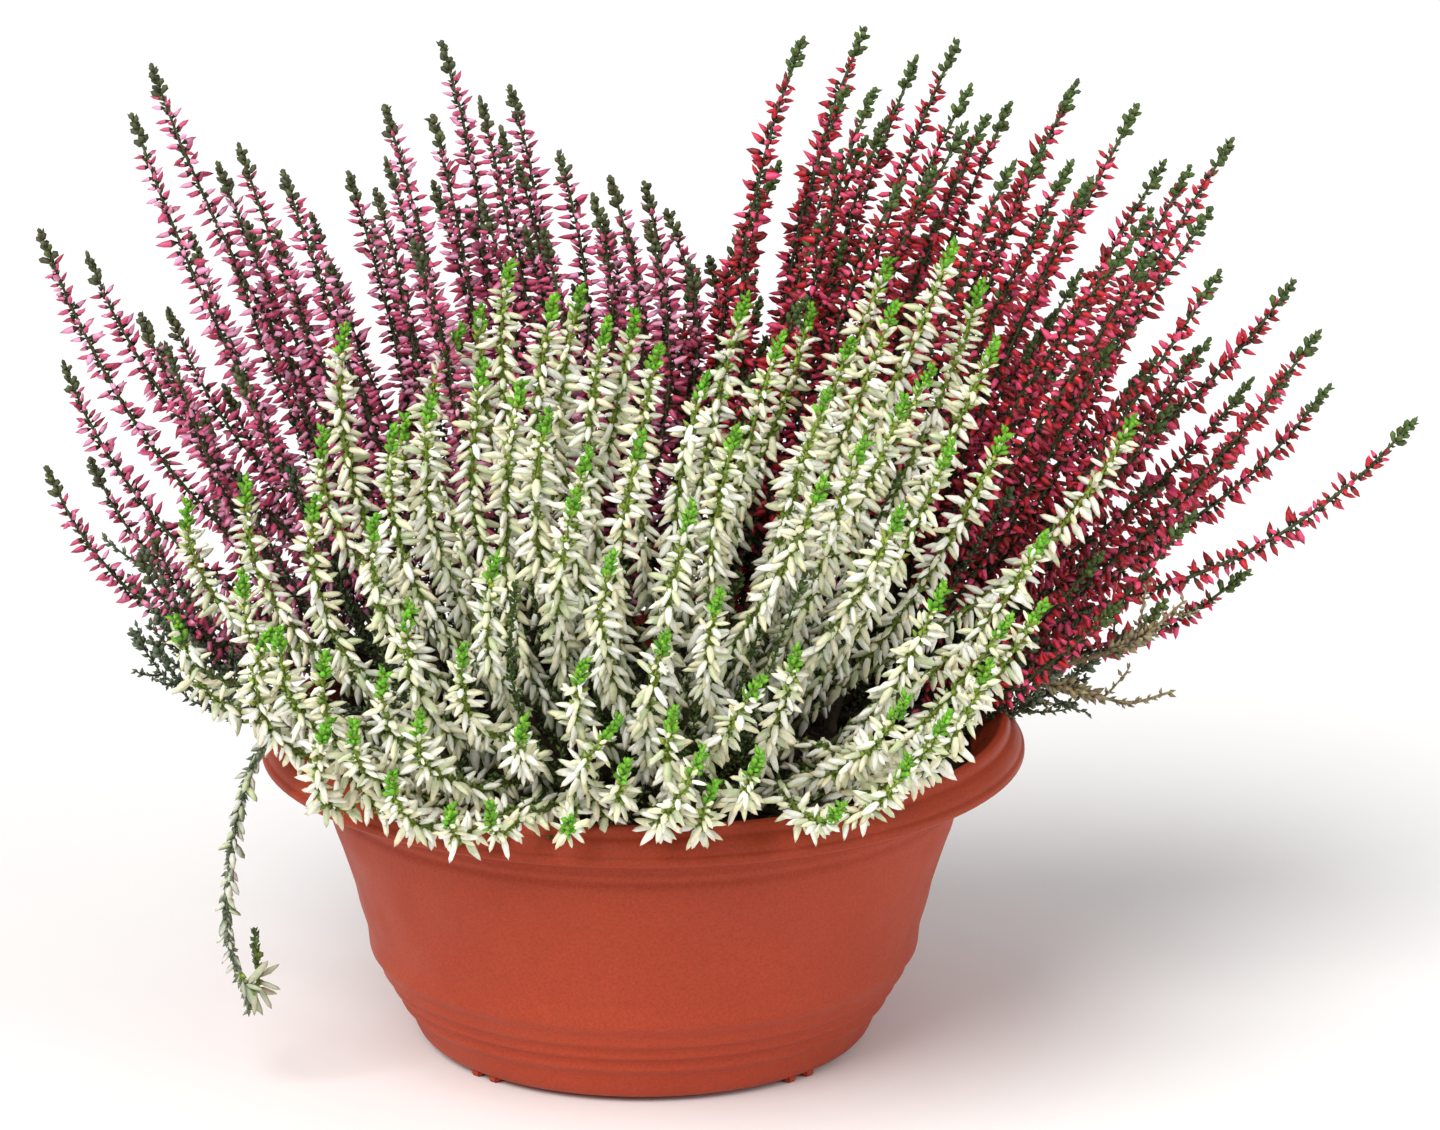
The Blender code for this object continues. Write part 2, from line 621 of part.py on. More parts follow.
def shoot_mesh(name, line, allowed, kind, root=None):
    """Return one shoot along its line. A root gives it a stem that stands in the soil."""
    along = lengths_along(line)
    total = along[-1]
    levels = round((LEAFY_FROM - kind["bare"]) * total / kind["level"])
    bare = list(np.linspace(0, kind["bare"], 2 if root is None else 3)[:-1])
    shares = bare + list(np.linspace(kind["bare"], LEAFY_FROM, levels + 1)) + [LEAFY_TO, 1]
    distances = np.array(shares) * total
    rings = [at_distance(line, distance) for distance in distances]
    slots = [STEM_SLOT] * len(bare) + [FLOWER_SLOT] * levels + [LEAF_SLOT]
    base = SIDE_STEM if root is None else MAIN_STEM
    radii = list(np.linspace(base, FLOWER_STEM, len(bare) + 1)[:-1])
    radii += list(np.linspace(FLOWER_STEM, TIP_STEM, levels + 1)) + [TIP_STEM * TIP_TAPER, 0]
    places = halved(along)
    reaches = []
    for level, slot in enumerate(slots):
        height = distances[level + 1] - distances[level]
        beside = np.abs(places - distances[level] - height / 2) <= LEVEL_ROOM * height
        wanted = min(kind["reach"], LEAF_REACH if slot == LEAF_SLOT else kind["reach"])
        reaches.append(max(min(wanted, allowed[beside].min()), LEAST_REACH))
    if root is not None:
        rings[0] = root + UP * STEM_RISE / 2
        rings.insert(0, root - UP * (HOLE_DEPTH - GAP))
        slots.insert(0, STEM_SLOT)
        radii.insert(0, MAIN_STEM)
        reaches.insert(0, 0)
    return stem_mesh(name, np.array(rings), radii, slots, reaches)


def make_spray(spray, materials):
    """Make one spray: a main stem with its side shoots joined to it."""
    name = spray["name"]
    pieces = []
    for number, (line, allowed) in enumerate(zip(spray["lines"], spray["reaches"])):
        root = None if number else spray["root"]
        mesh = shoot_mesh(name, line, allowed, spray["kind"], root)
        pieces.append(add_object(name if number == 0 else "%s_side_%d" % (name, number), mesh, materials))
    if len(pieces) > 1:
        combine(pieces[0], pieces[1:], "UNION")


def plan_sprays():
    """Share out the plants' tips among sprays, each in a node of its own."""
    sprays = []
    for name, plant in PLANTS.items():
        groups = shared_out(tips_of(plant), np.array(plant["crown"]) * MM)
        for number, tips in enumerate(groups, 1):
            label = "%s_spray_%02d" % (name, number)
            room = room_along(plant["bare"], plant["reach"])
            spray = {"name": label, "plant": name, "kind": plant, "tips": tips, "room": room, "held": False}
            sprays.append(spray)
    return sprays


def plan_old_growth():
    """Plan the old hanging shoot and the dry twigs, whose lines are held as chosen."""
    old_shoot = {"bare": OLD_GROWTH_BARE, "level": OLD_SHOOT_LEVEL, "reach": OLD_SHOOT_REACH}
    kinds = (("old_shoot", old_shoot, (OLD_SHOOT_ROUTE,)), ("dry_twigs", None, TWIG_ROUTES))
    planned = []
    for name, kind, routes in kinds:
        x, y = np.array(routes[0][0][:2]) * MM
        reach = kind["reach"] if kind else TWIG_STEM
        root = np.array((x, y, soil_height(x, y)))
        lines = [through(route) for route in routes]
        room = room_along(OLD_GROWTH_BARE, reach)
        planned.append({"name": name, "kind": kind, "root": root, "lines": lines, "room": room, "held": True})
    return planned


def make_twigs(spray, materials):
    """Make the dry twigs: plain three-sided stems that taper to a point."""
    pieces = []
    for number, line in enumerate(spray["lines"]):
        rings = line[::4]
        base = TWIG_SIDE_STEM if number else TWIG_STEM
        radii = list(np.linspace(base, base * TWIG_TAPER, len(rings) - 1)) + [0]
        if number == 0:
            rings[0] = spray["root"] + UP * STEM_RISE / 2
            rings = np.vstack((spray["root"] - UP * (HOLE_DEPTH - GAP), rings))
            radii.insert(0, base)
        mesh = stem_mesh(spray["name"], rings, radii, [STEM_SLOT] * len(rings), [0] * len(rings))
        name = spray["name"] if number == 0 else "%s_side_%d" % (spray["name"], number)
        pieces.append(add_object(name, mesh, materials))
    combine(pieces[0], pieces[1:], "UNION")


def make_plants():
    """Make the sprays of the three plants, the old shoot and the twigs, and return their roots."""
    sprays, old_growth = plan_sprays(), plan_old_growth()
    place_roots(sprays, [old["root"][:2] for old in old_growth])
    for spray in sprays:
        draw_lines(spray)
    everything = sprays + old_growth
    bend_clear(everything)
    limit_reach(everything)
    for name, plant in PLANTS.items():
        materials = [material("%s_%s" % (name, slot), plant[slot], 0.6) for slot in SLOTS]
        for spray in sprays:
            if spray["plant"] == name:
                make_spray(spray, materials)
    old_shoot, twigs = old_growth
    old_colours = ((0.10, 0.10, 0.05), (0.35, 0.37, 0.28), (0.10, 0.17, 0.06))
    materials = [material("old_%s" % slot, colour, 0.7) for slot, colour in zip(SLOTS, old_colours)]
    make_spray(old_shoot, materials)
    make_twigs(twigs, [material("dry_wood", (0.16, 0.10, 0.05), 0.8)])
    return [spray["root"] for spray in everything]


def main():
    """Make the potted heather."""
    clear_scene()
    make_bowl()
    make_soil(make_plants())


main()
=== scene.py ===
"""Potted heather in its finished look: moulded bowl, crumbly soil and fine flowering shoots.

Metres, +Z up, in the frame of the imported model. The fine shoots follow the lines of its sprays.
"""

import math

import bmesh
import bpy
import numpy as np
from mathutils import Matrix, Vector, noise


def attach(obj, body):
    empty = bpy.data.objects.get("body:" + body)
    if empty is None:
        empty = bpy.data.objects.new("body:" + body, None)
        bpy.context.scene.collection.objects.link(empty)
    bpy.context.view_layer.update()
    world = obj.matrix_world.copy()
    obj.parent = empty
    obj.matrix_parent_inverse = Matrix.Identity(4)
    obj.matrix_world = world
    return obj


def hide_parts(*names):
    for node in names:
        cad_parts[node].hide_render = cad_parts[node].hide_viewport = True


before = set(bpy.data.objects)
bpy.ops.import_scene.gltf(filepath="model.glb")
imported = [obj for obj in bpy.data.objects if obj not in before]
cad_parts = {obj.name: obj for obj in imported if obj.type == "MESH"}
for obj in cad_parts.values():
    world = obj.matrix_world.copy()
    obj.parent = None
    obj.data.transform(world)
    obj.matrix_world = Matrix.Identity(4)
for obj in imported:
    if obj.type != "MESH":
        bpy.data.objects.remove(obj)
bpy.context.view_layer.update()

MM = 0.001
UP = np.array((0.0, 0.0, 1.0))
GOLDEN = 0.618034  # step of an evenly spread sequence
GOLDEN_ANGLE = math.radians(137.508)
FIRST_TURN = 0.3
FIRST_SIDE = (0.31, 0.92, 0.11)  # unlike the start of any stem
CHANCE = np.random.default_rng(11)
ANY_TURN = 6.28  # upper end of a random turn or phase
TINY = 0.01 * MM  # least distance by which anything is divided
NEARLY_NOTHING = 1e-9  # added to the level part of a direction, so that it has a length
NEARLY_UPRIGHT = 0.9  # upward part from which a direction counts as upright
DECIMALS = 6  # of a metre, to which roots and lines are rounded

# The camera: where it looks, from how far and how high
LOOKED_AT = Vector((0.0231, 0.0, 0.146))
CAMERA_DISTANCE = 2.0
CAMERA_ELEVATION = math.radians(16.09)
CAMERA_LENS, CAMERA_SENSOR = 167.2, 36

# The studio, in metres
FLOOR_HALF = 8
SURROUND_STRENGTH = 0.46
KEY_PLACE, FILL_PLACE = (-1.1, -1.5, 2.2), (1.6, -1.2, 1.1)

# The bowl's profile: (radius, height) in mm
BOWL_SIDES = 128
BOWL_UNDERSIDE = ((0, 0), (56, 0), (57, 1.4), (66.4, 1.4), (68.4, 2.6), (69.9, 5.4), (71.0, 8.8))
BOWL_RIBS = (
    (71.6, 10.4), (74.1, 12.2), (74.4, 12.9), (74.0, 15.4), (76.7, 17.0), (77.1, 17.7), (76.9, 20.0),
    (79.4, 21.6), (79.9, 22.4), (80.2, 25.0), (82.4, 27.4),
)
BOWL_WALL = (
    (83.2, 28.6), (83.4, 31.0), (83.9, 36), (86.2, 43.4), (87.6, 50), (89.7, 56.7), (91.9, 63.5),
    (93.6, 68), (95.0, 73.4),
)
BOWL_BEADS = ((95.8, 76.0), (95.5, 77.4), (95.6, 78.6), (96.4, 79.6), (96.5, 81.0), (96.9, 84.0))
BOWL_FOLD = (
    (99.4, 89.2), (105.5, 92.2), (112.3, 91.2), (112.9, 88.8), (114.6, 88.8), (115.0, 90.4),
    (114.5, 91.6), (113.8, 92.0), (113.7, 92.8), (112.9, 94.6), (111.4, 96.2), (110.5, 96.6),
    (110.2, 97.4), (109.9, 98.8),
)
BOWL_EDGE = ((108.6, 99.9), (107.4, 99.9), (106.4, 98.6))
BOWL_INSIDE = ((97.4, 88), (94.4, 80), (81.2, 30), (69, 8), (64, 4.6), (0, 4.6))
CORNER = 0.9 * MM  # how far the rounding of a corner reaches along its sides
CORNER_SHARE = 0.4  # of a side at most
SHARP_ANGLE = math.radians(50)
MERGED = 0.005 * MM  # distance within which points are one

FOOT_PAIRS = 4
FOOT_TURN = math.radians(45)
FOOT_WIDTH = 4.0 * MM
FOOT_NOTCH = 3.4 * MM
FOOT_HEIGHT = 3.0 * MM
FOOT_INNER = 60.0 * MM
FOOT_OUTER = 67.4 * MM
FOOT_TAPERS = (1 * MM, 0.8 * MM)  # how much less far a foot's top reaches inwards and outwards
FOOT_BEVEL = 0.7 * MM

DIRTY_RADIUS, LIP_SHADE_AND_DIRT_FROM = 108.5 * MM, 84 * MM  # inside and above them the lip is specked with soil, and above the height the whole lip is also darkened with painted shade

SOIL_TOP = 90.0 * MM
SOIL_LUMP = 1.6 * MM
SOIL_WAVES = (9 * MM, 11 * MM, 17 * MM)
SOIL_PHASE, SOIL_CROSS_WAVE = 0.7, 0.6
SOIL_CRUMBLE = ((0.16, 1.1), (0.5, 0.6), (1.3, 0.25))  # noises: their scale per mm, and height in mm
SOIL_LEVEL_EDGE = 20.0 * MM
SOIL_LEVEL_FROM = 92.0 * MM
SOIL_GAP = 0.42 * MM
SOIL_FLOOR = 5.0 * MM
SOIL_FLOOR_RADIUS = 62 * MM
SOIL_EDGE = 98.6 * MM
SOIL_RINGS, SOIL_SIDES = 36, 104
CRUMBS = 1200
CRUMB_AREA = 96.5 * MM  # radius of the area that they lie on
CRUMB_SIZES = (0.4 * MM, 1.9 * MM)
CRUMB_RARITY = 2.5  # how much rarer the large ones are
CRUMB_WIDTH = 0.9  # of a crumb's size
FIBRES = 200
FIBRE_LENGTHS = (2, 7)  # in mm
FIBRE_WIDTH = 0.07  # of a fibre's length
FIBRE_HEIGHT, FIBRE_SLOPE, FIBRE_SLOPES = 0.5 * MM, 0.05, 0.12  # above the soil; mean and scatter
SOIL_SHADES, CRUMB_SHADES, FIBRE_SHADES = 0.3, 0.45, 0.4

RIM_TUBE_RADIUS = 107.5 * MM
RIM_TUBE_HEIGHT = 93.0 * MM
RIM_TUBE_THICKNESS = 9.2 * MM

EYE = np.array((23.0, -1922.0, 700.0)) * MM
DEPTH_USED = 0.85
LEAST_SPREAD = 38 * MM

# The plants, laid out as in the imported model. kept_lean is the share of its lean that a shoot keeps
# at its tip, and tilt how far all its plant's tips tilt in x and y. more_tips are those of the finer
# shoots between the sprays, listed in the same way as tips.
PLANTS = {
    "white": {
        "crown": (0, -44),
        "kept_lean": 0.25,
        "tilt": (0.27, 0),
        "dome": ((3, -40, 85), (150, 100, 158)),
        "near_side": True,
        "reach": 7.4 * MM,
        "bare": 0.22,
        "tips": (
            (-140, 129), (-136, 165), (-118, 172), (-98, 166), (-88, 219), (-95, 187), (-74, 188),
            (-109, 125), (-80, 160), (-70, 133), (-39, 238), (-26, 228), (-10, 221), (-47, 208), (5, 213),
            (-28, 193), (-20, 168), (31, 228), (19, 204), (41, 216), (15, 164), (-9, 149), (-44, 148),
            (-54, 120), (-18, 115), (23, 137), (55, 199), (72, 240), (92, 244), (105, 215), (78, 197),
            (92, 183), (108, 187), (54, 172), (77, 163), (146, 191), (120, 155), (90, 139), (120, 134),
            (46, 119), (-87, 96), (-67, 99), (-46, 70), (-22, 66), (9, 100), (35, 86), (60, 70),
            (79, 104), (0, 186), (7, 124), (-36, 97), (-5, 84), (36, 110),
        ),
        "other_tips": ((-70, -4, 192), (-22, -2, 204), (24, 2, 198), (68, -6, 196)),
        "more_tips": (
            (-92, 92), (-74, 80), (-58, 68), (-112, 122), (-96, 116), (-120, 142), (-76, 112), (92, 98),
            (80, 84), (104, 114), (110, 128), (-48, 224), (-18, 230), (75, 225), (99, 232), (-36, 201),
            (-63, 196), (28, 187), (66, 183), (-8, 96), (11, 88), (22, 76), (-58, 214), (-2, 222),
            (50, 224), (62, 214), (86, 206), (-16, 180),
        ),
    },
    "pink": {
        "crown": (-38, 32),
        "kept_lean": 0.08,
        "tilt": (-0.28, 0),
        "dome": ((-76, 36, 85), (122, 100, 212)),
        "near_side": False,
        "reach": 5.6 * MM,
        "bare": 0.26,
        "tips": (
            (-177, 247), (-163, 240), (-171, 207), (-177, 175), (-164, 178), (-143, 297), (-149, 282),
            (-124, 267), (-105, 265), (-97, 252), (-78, 260), (-75, 285), (-58, 304), (-61, 282),
            (-38, 290), (-24, 271), (-14, 258), (1, 262), (-34, 248), (-67, 244), (-92, 238),
            (-148, 222), (-111, 218), (-130, 191), (-150, 148), (-73, 222), (-47, 256), (5, 236),
            (-118, 238),
        ),
        "other_tips": (
            (-150, 90, 190), (-105, 128, 175), (-55, 138, 190), (-10, 128, 170), (-80, 105, 245),
            (-6, 46, 196), (-26, 84, 206),
        ),
        "more_tips": (
            (-118, 272), (-41, 277), (-59, 261), (-9, 263), (-140, 223), (-141, 212), (-153, 140),
            (-51, 253), (-29, 247), (-86, 264), (-47, 286), (-133, 246), (-36, 267), (-6, 246),
            (-104, 206), (-12, 243), (2, 249), (-128, 168), (14, 237), (-20, 230), (-44, 224),
            (-120, 205), (10, 214), (14, 197), (-79, 248), (-72, 233),
        ),
    },
    "red": {
        "crown": (38, 32),
        "kept_lean": 0.35,
        "tilt": (0.38, 0),
        "dome": ((104, 36, 85), (130, 100, 216)),
        "near_side": False,
        "reach": 5.6 * MM,
        "bare": 0.26,
        "tips": (
            (47, 305), (65, 308), (92, 304), (68, 290), (80, 299), (101, 282), (109, 268), (127, 292),
            (145, 285), (153, 268), (173, 275), (167, 254), (192, 232), (200, 217), (203, 200), (180, 202),
            (229, 190), (167, 214), (156, 194), (150, 240), (180, 143), (156, 134), (151, 172), (40, 268),
            (76, 262), (60, 241), (108, 232), (129, 235), (88, 252), (139, 214),
        ),
        "other_tips": (
            (40, 125, 175), (85, 138, 190), (130, 122, 175), (170, 85, 190), (100, 105, 250),
            (22, 60, 192), (20, 96, 182),
        ),
        "more_tips": (
            (126, 267), (158, 198), (53, 250), (144, 243), (35, 258), (137, 148), (161, 266), (108, 285),
            (150, 253), (67, 273), (94, 279), (120, 250), (116, 214), (96, 236), (128, 196), (146, 224),
            (170, 234), (138, 176), (164, 160), (34, 226), (84, 240), (48, 226), (122, 222), (30, 206),
            (58, 270), (72, 280), (86, 266), (104, 254), (118, 272), (132, 262), (60, 290), (96, 290),
            (114, 122), (128, 126), (142, 132), (152, 142),
        ),
    },
}

# Sprays: a main stem and its side shoots
SPRAY_SIZE = 3
ROOT_REACH = 38 * MM
ROOT_SPACING = 11.5 * MM
ROOT_LIMIT = 87 * MM
ROOT_ROUNDS = 200
ROOT_PUSH = 0.3
STEM_RISE = 4 * MM
FORK_STARTS = (14 * MM, 24 * MM)
FORK_SPREAD = math.radians(34)
LEAN_GAIN = 1.35
LEAN_LIMIT = math.radians(72)
RIGHTED_LEAN = math.radians(60)  # lean up to which a shoot rights itself
ARC_START = 0.30
ARC_END = 0.48

# Bending the shoots clear of each other, of the bowl and of the soil
SAMPLES = 25
CLEARING_ROUNDS = 80
FINE_CLEARING_ROUNDS = 24
SMOOTHING_ROUNDS = 3
PUSH_SHARE = 0.22
BOWL_PUSH_SHARE = 0.6
BEND_KEPT = 0.995
FORKED_SHARE = 0.3
ROOTED_SHARE, FREED_SHARE = 0.02, 0.14
STEM_ROOM = 4.4 * MM
SPARE_ROOM = 0.4 * MM
SOIL_ROOM = 2.0 * MM
LEAF_REACH = 3.0 * MM
LEAFY_FROM = 0.91
BARE_MARGIN, LEAFY_MARGIN = 0.04, 0.02  # shares of a shoot by which its flowers' room is widened
FINE_ROOM = 0.75  # share of a spray's room that a finer shoot between the sprays keeps
FINE_INSET = np.array((0, 3.5, 0)) * MM  # by which finer shoots' tips stand behind their dome's front
ROOT_SCATTER = 0.25  # of the finer shoots' roots, as a share of ROOT_REACH

# The old hanging shoot, its upturned twig and the ends of the twig's star of leaves, the dry twigs,
# and the leafy stem low among the white shoots, all in mm
OLD_SHOOT_ROUTE = (
    (-68, -36, 94), (-78, -43, 106), (-93, -50, 114), (-108, -55, 110), (-117, -57, 92),
    (-121, -57, 72), (-122, -57, 50), (-116, -57, 26),
)
OLD_SHOOT_REACH = 3.8 * MM
OLD_GROWTH_BARE = 0.2
OLD_SHOOT_TWIG = (
    (-119, -57, 38), (-117.5, -57, 33.5), (-114.6, -56.8, 32.2), (-113.2, -56.4, 36), (-113.8, -56, 43),
    (-114.3, -56, 49.5),
)
OLD_SHOOT_STAR = (
    (-107, -56, 39.5), (-106.6, -59, 32.5), (-109.4, -58, 26), (-114.5, -60, 24.6), (-118, -55, 25.4),
    (-108, -53, 29), (-110, -60, 42), (-111.5, -61, 33), (-112, -58, 24), (-117, -60, 30),
)
OLD_BUDS = (0.24, 0.93)  # shares of the old shoot between which it has buds
OLD_STAR_AT = (0.45, 0.1)  # shares of the twig between which the star's leaves start
OLD_STAR_WIDTH = 0.13  # half width of its leaves, as a share of their length
TWIG_ROUTES = (
    ((80, -4, 94), (94, -1, 107), (112, 1, 111), (130, 3, 106), (146, 3, 102), (158, 0, 106)),
    ((112, 1, 111), (131, -3, 117), (148, -8, 125), (161, -12, 138)),
)
TWIG_REACH = 1.6 * MM
LOW_WHITE_ROUTE = (
    (-84, -46, 96), (-95, -52, 112), (-106, -56, 120), (-118, -57, 126), (-126, -58, 130),
    (-132, -58, 137), (-135, -58, 146),
)
LOW_WHITE_BUDS_FROM = 18 * MM
LOW_WHITE_CROWN, LOW_WHITE_BARE = 12 * MM, 3 * MM  # lengths of its crowded end and of its bare tip
DRY_PLACES = (0.3, 0.5, 0.74, 0.45)  # shares of a twig: leaves from, shrivelled ones, branchlets from

# Colours are linear.
WHITE, CREAM, IVORY = (0.94, 0.95, 0.86), (0.84, 0.81, 0.58), (0.72, 0.76, 0.50)
PEACH, GREEN_WHITE = (0.82, 0.50, 0.24), (0.58, 0.66, 0.40)
ROSE, LILAC_PINK, DEEP_ROSE = (0.60, 0.090, 0.20), (0.82, 0.36, 0.56), (0.40, 0.038, 0.09)
CRIMSON, MAGENTA, DARK_RED = (0.50, 0.014, 0.024), (0.76, 0.075, 0.19), (0.24, 0.014, 0.014)
FRESH_GREEN, YELLOW_GREEN = (0.14, 0.38, 0.02), (0.26, 0.36, 0.05)
OLIVE, DARK_GREEN, MID_GREEN = (0.075, 0.088, 0.034), (0.035, 0.060, 0.020), (0.066, 0.108, 0.024)
GREY_GREEN, BROWN, TAN = (0.17, 0.21, 0.13), (0.12, 0.075, 0.040), (0.31, 0.25, 0.14)
DARK_BROWN, DULL_GREEN, PALE_GREY = (0.060, 0.042, 0.025), (0.095, 0.125, 0.070), (0.66, 0.68, 0.58)
OLIVE_BROWN = (0.072, 0.062, 0.024)
SOIL_COLOUR, CRUMB_COLOUR, FIBRE_COLOUR = (0.020, 0.014, 0.010), (0.028, 0.019, 0.013), (0.10, 0.06, 0.03)
TERRACOTTA, DARK_TERRACOTTA = (0.405, 0.056, 0.022, 1), (0.355, 0.047, 0.020, 1)
# The first darkens the whole lip as painted shade; the second is the soil specked on it.
RIM_PAINTED_SHADE, RIM_DIRT = (0.86, 0.84, 0.80, 1), (0.030, 0.018, 0.012, 1)
FLOOR_PALE, FLOOR_GREY = (0.93, 0.93, 0.93, 1), (0.90, 0.90, 0.90, 1)

# How each plant's buds, leaves and tips look. Buds are spacing apart, and paired ones stand in crossed
# pairs. crowding below 1 draws them up a shoot, and scatter spreads their turns and rises. Two colours
# of petals are mixed round each bud. rise is how steeply the lowest and the topmost bud stand, and
# lift how late the rise comes. nod lets low buds hang, and sag bends each bud down. leaf has the
# colours low and high on a shoot. stretch is how long the leafy end is, in tip lengths.
SHORT_BUDS = {
    "bud": "short", "paired": True, "crowding": 1.05, "cup": DARK_BROWN,
    "rise": (math.radians(-12), math.radians(26)), "lift": 2.0, "nod": 0.1, "sag": 0.0,
    "leaf": (DARK_GREEN, OLIVE_BROWN), "leaf_spacing": 1.4 * MM,
    "tip_length": 8.5 * MM, "tip_leaf": 3.8 * MM, "stem_top": OLIVE, "stem_low": DARK_BROWN,
}
LOOKS = {
    "white": {
        "bud": "long", "bud_length": 6.9 * MM, "bud_half": 1.06 * MM, "spacing": 0.84 * MM,
        "paired": False, "crowding": 0.80, "scatter": 0.36,
        "petals": (WHITE, WHITE, CREAM), "petal_edges": (CREAM, WHITE, IVORY, GREEN_WHITE),
        "bud_point": PEACH, "cup": YELLOW_GREEN,
        "rise": (math.radians(-36), math.radians(34)), "lift": 3.5, "nod": 0.55, "sag": 0.06,
        "leaf": (MID_GREEN, YELLOW_GREEN), "leaf_spacing": 0.88 * MM, "leaf_length": 3.6 * MM,
        "tip": FRESH_GREEN, "tip_length": 7.0 * MM, "tip_leaves": 16, "tip_leaf": 3.5 * MM,
        "tip_half": 0.85 * MM, "stretch": (1.0, 1.3), "stem_top": YELLOW_GREEN, "stem_low": DARK_BROWN,
    },
    "pink": {
        **SHORT_BUDS,
        "bud_length": 5.6 * MM, "bud_half": 0.94 * MM, "spacing": 0.78 * MM, "scatter": 0.30,
        "petals": (ROSE, LILAC_PINK, ROSE), "petal_edges": (LILAC_PINK, ROSE, DEEP_ROSE),
        "bud_point": ROSE, "leaf_length": 2.6 * MM,
        "tip": OLIVE, "tip_leaves": 12, "tip_half": 1.06 * MM, "stretch": (0.9, 1.7),
    },
    "red": {
        **SHORT_BUDS,
        "bud_length": 5.3 * MM, "bud_half": 1.02 * MM, "spacing": 0.82 * MM, "scatter": 0.36,
        "petals": (CRIMSON, CRIMSON, MAGENTA, DARK_RED), "petal_edges": (CRIMSON, MAGENTA, DARK_RED),
        "bud_point": MAGENTA, "leaf_length": 2.7 * MM,
        "tip": MID_GREEN, "tip_leaves": 13, "tip_half": 1.04 * MM, "stretch": (0.9, 2.0),
    },
}
LOW_WHITE_LOOK = dict(LOOKS["white"], spacing=2.6 * MM, nod=1.4, crowding=1.0)
OLD_LOOK = dict(
    LOOKS["white"], petals=(GREEN_WHITE, PALE_GREY, PALE_GREY),
    petal_edges=(GREY_GREEN, PALE_GREY, GREEN_WHITE), bud_length=5.2 * MM, bud_half=0.98 * MM,
    spacing=1.25 * MM, nod=0.9, paired=True, crowding=1.0, bud_point=TAN,
    rise=(math.radians(48), math.radians(48)), cup=DULL_GREEN,
)
OLD_TWIG_LOOK = dict(OLD_LOOK, tip=MID_GREEN, tip_length=10 * MM, tip_leaves=12, tip_leaf=2.8 * MM)
DRY_LOOK = dict(LOOKS["white"], leaf=(TAN, TAN), stem_low=BROWN)

# Leaves along a stem: their colours low and high, their spacing and their length
LOW_WHITE_LEAVES = ((DARK_GREEN, MID_GREEN), 0.7 * MM, 2.8 * MM)
OLD_LEAVES = ((DULL_GREEN, GREY_GREEN), 0.42 * MM, 2.9 * MM)
OLD_TWIG_LEAVES = ((YELLOW_GREEN, DARK_GREEN), 0.45 * MM, 2.6 * MM)
DRY_LEAVES = ((OLIVE, TAN), 1.0 * MM, 2.8 * MM)
SHRIVELLED_LEAVES = ((TAN, TAN), 0.32 * MM, 4.6 * MM)
BARE_STEM_LEAF_SPACING, BARE_STEM_LEAF = 1.4 * MM, 2.8 * MM
LEAFY_END_SPACING = 0.9 * MM

# How buds, leaves, tips and branchlets vary. Scatters of turns and rises are in radians.
PAIR_TWIST = 0.06  # how much further each bud of a paired shoot is turned
PAIR_STEP_SCATTER, STEP_SCATTER = 0.6, 0.8
BUD_SIZE_SCATTER, BUD_WIDTH_SCATTER, BUD_SHADE_SCATTER = 0.14, 0.08, 0.07
SMALL_FROM, SMALL_SPAN, SMALLER_BY = 0.85, 0.15, 0.3  # the topmost buds are smaller
SHADED_TO, SHADE = 0.5, 0.72  # the lowest buds are darker, partly for an older, duller colour and partly as painted shade deep in the plant
POINT_FROM, POINT_SPAN, POINT_TINT = 0.65, 0.35, 0.6  # a bud's coloured point
LEAF_TURN, LEAF_TURN_SCATTER = math.radians(90), 0.3
LEAF_RISE, LEAF_RISE_SCATTER = math.radians(48), 0.2
LEAF_SIZES, LEAF_WIDTH, LEAF_SHADES = (0.75, 1.2), 0.24, 0.2
TIP_RISE, TIP_RISE_GAIN = 40, 16  # in degrees, low on a tip and gained up to its point
TIP_RISE_SCATTER, TIP_TURN_SCATTER = 0.15, 0.25
TIP_LENGTHS, TIP_SHORTER_BY = (0.7, 1.15), 0.3
TIP_WIDTHS, TIP_NARROWER_BY, TIP_SHADES = (0.8, 1.15), 0.2, 0.22
TIP_OVERLAP = 0.2  # share of the leafy tip that buds still stand on
WAVES, WAVE_TURNS, WAVE_SPREAD = 3, (8, 20), 0.6
BRANCHLETS = 4
BRANCHLET_LENGTHS, BRANCHLET_POINTS = (8, 16), 6  # in mm
BRANCHLET_RISE, BRANCHLET_RISE_SCATTER, BRANCHLET_BEND = math.radians(35), 0.2, 0.25
BRANCHLETS_FROM, BRANCHLETS_TO = 6 * MM, 1.3  # the latter as a share of the bare stem

# Leafy shoots without flowers, which fill the plants' middles or stand at chosen tips, in mm
INNER_SHOOTS = 15
INNER_LENGTHS = (55 * MM, 105 * MM)
INNER_LEANS = (0.1, 0.75)
INNER_STARTS = (0.3, 1.0)  # shares of ROOT_REACH
INNER_DEPTH = 2 * MM
INNER_TIP = {"tip_leaves": 7, "tip_length": 5 * MM}
CHOSEN_LEAVES = (DULL_GREEN, GREY_GREEN)
LEAFY_RADII = (0.5 * MM, 0.25 * MM)
LEAFY_SPACING, BRANCHLET_SPACING, LEAFY_LEAF = 0.75 * MM, 0.8 * MM, 2.6 * MM
LEAFY_TIPS = {
    "white": (),
    "pink": (
        (-152, -8, 127), (-146, -6, 134), (-142, -8, 129), (-149, 0, 150), (-137, 0, 137),
        (-131, 4, 128), (-146, -10, 125), (-139, -6, 134), (-136, -10, 126), (-143, -2, 141),
    ),
    "red": (
        (119, 0, 105), (128, 4, 109), (136, 8, 114), (146, 10, 122), (118, 8, 120), (134, 14, 126),
        (124, -4, 114),
    ),
}
BUSHY, BUSHY_FROM, BUSHY_END = 3, 0.6, 6 * MM  # branchlets of a shoot at a chosen tip, and where

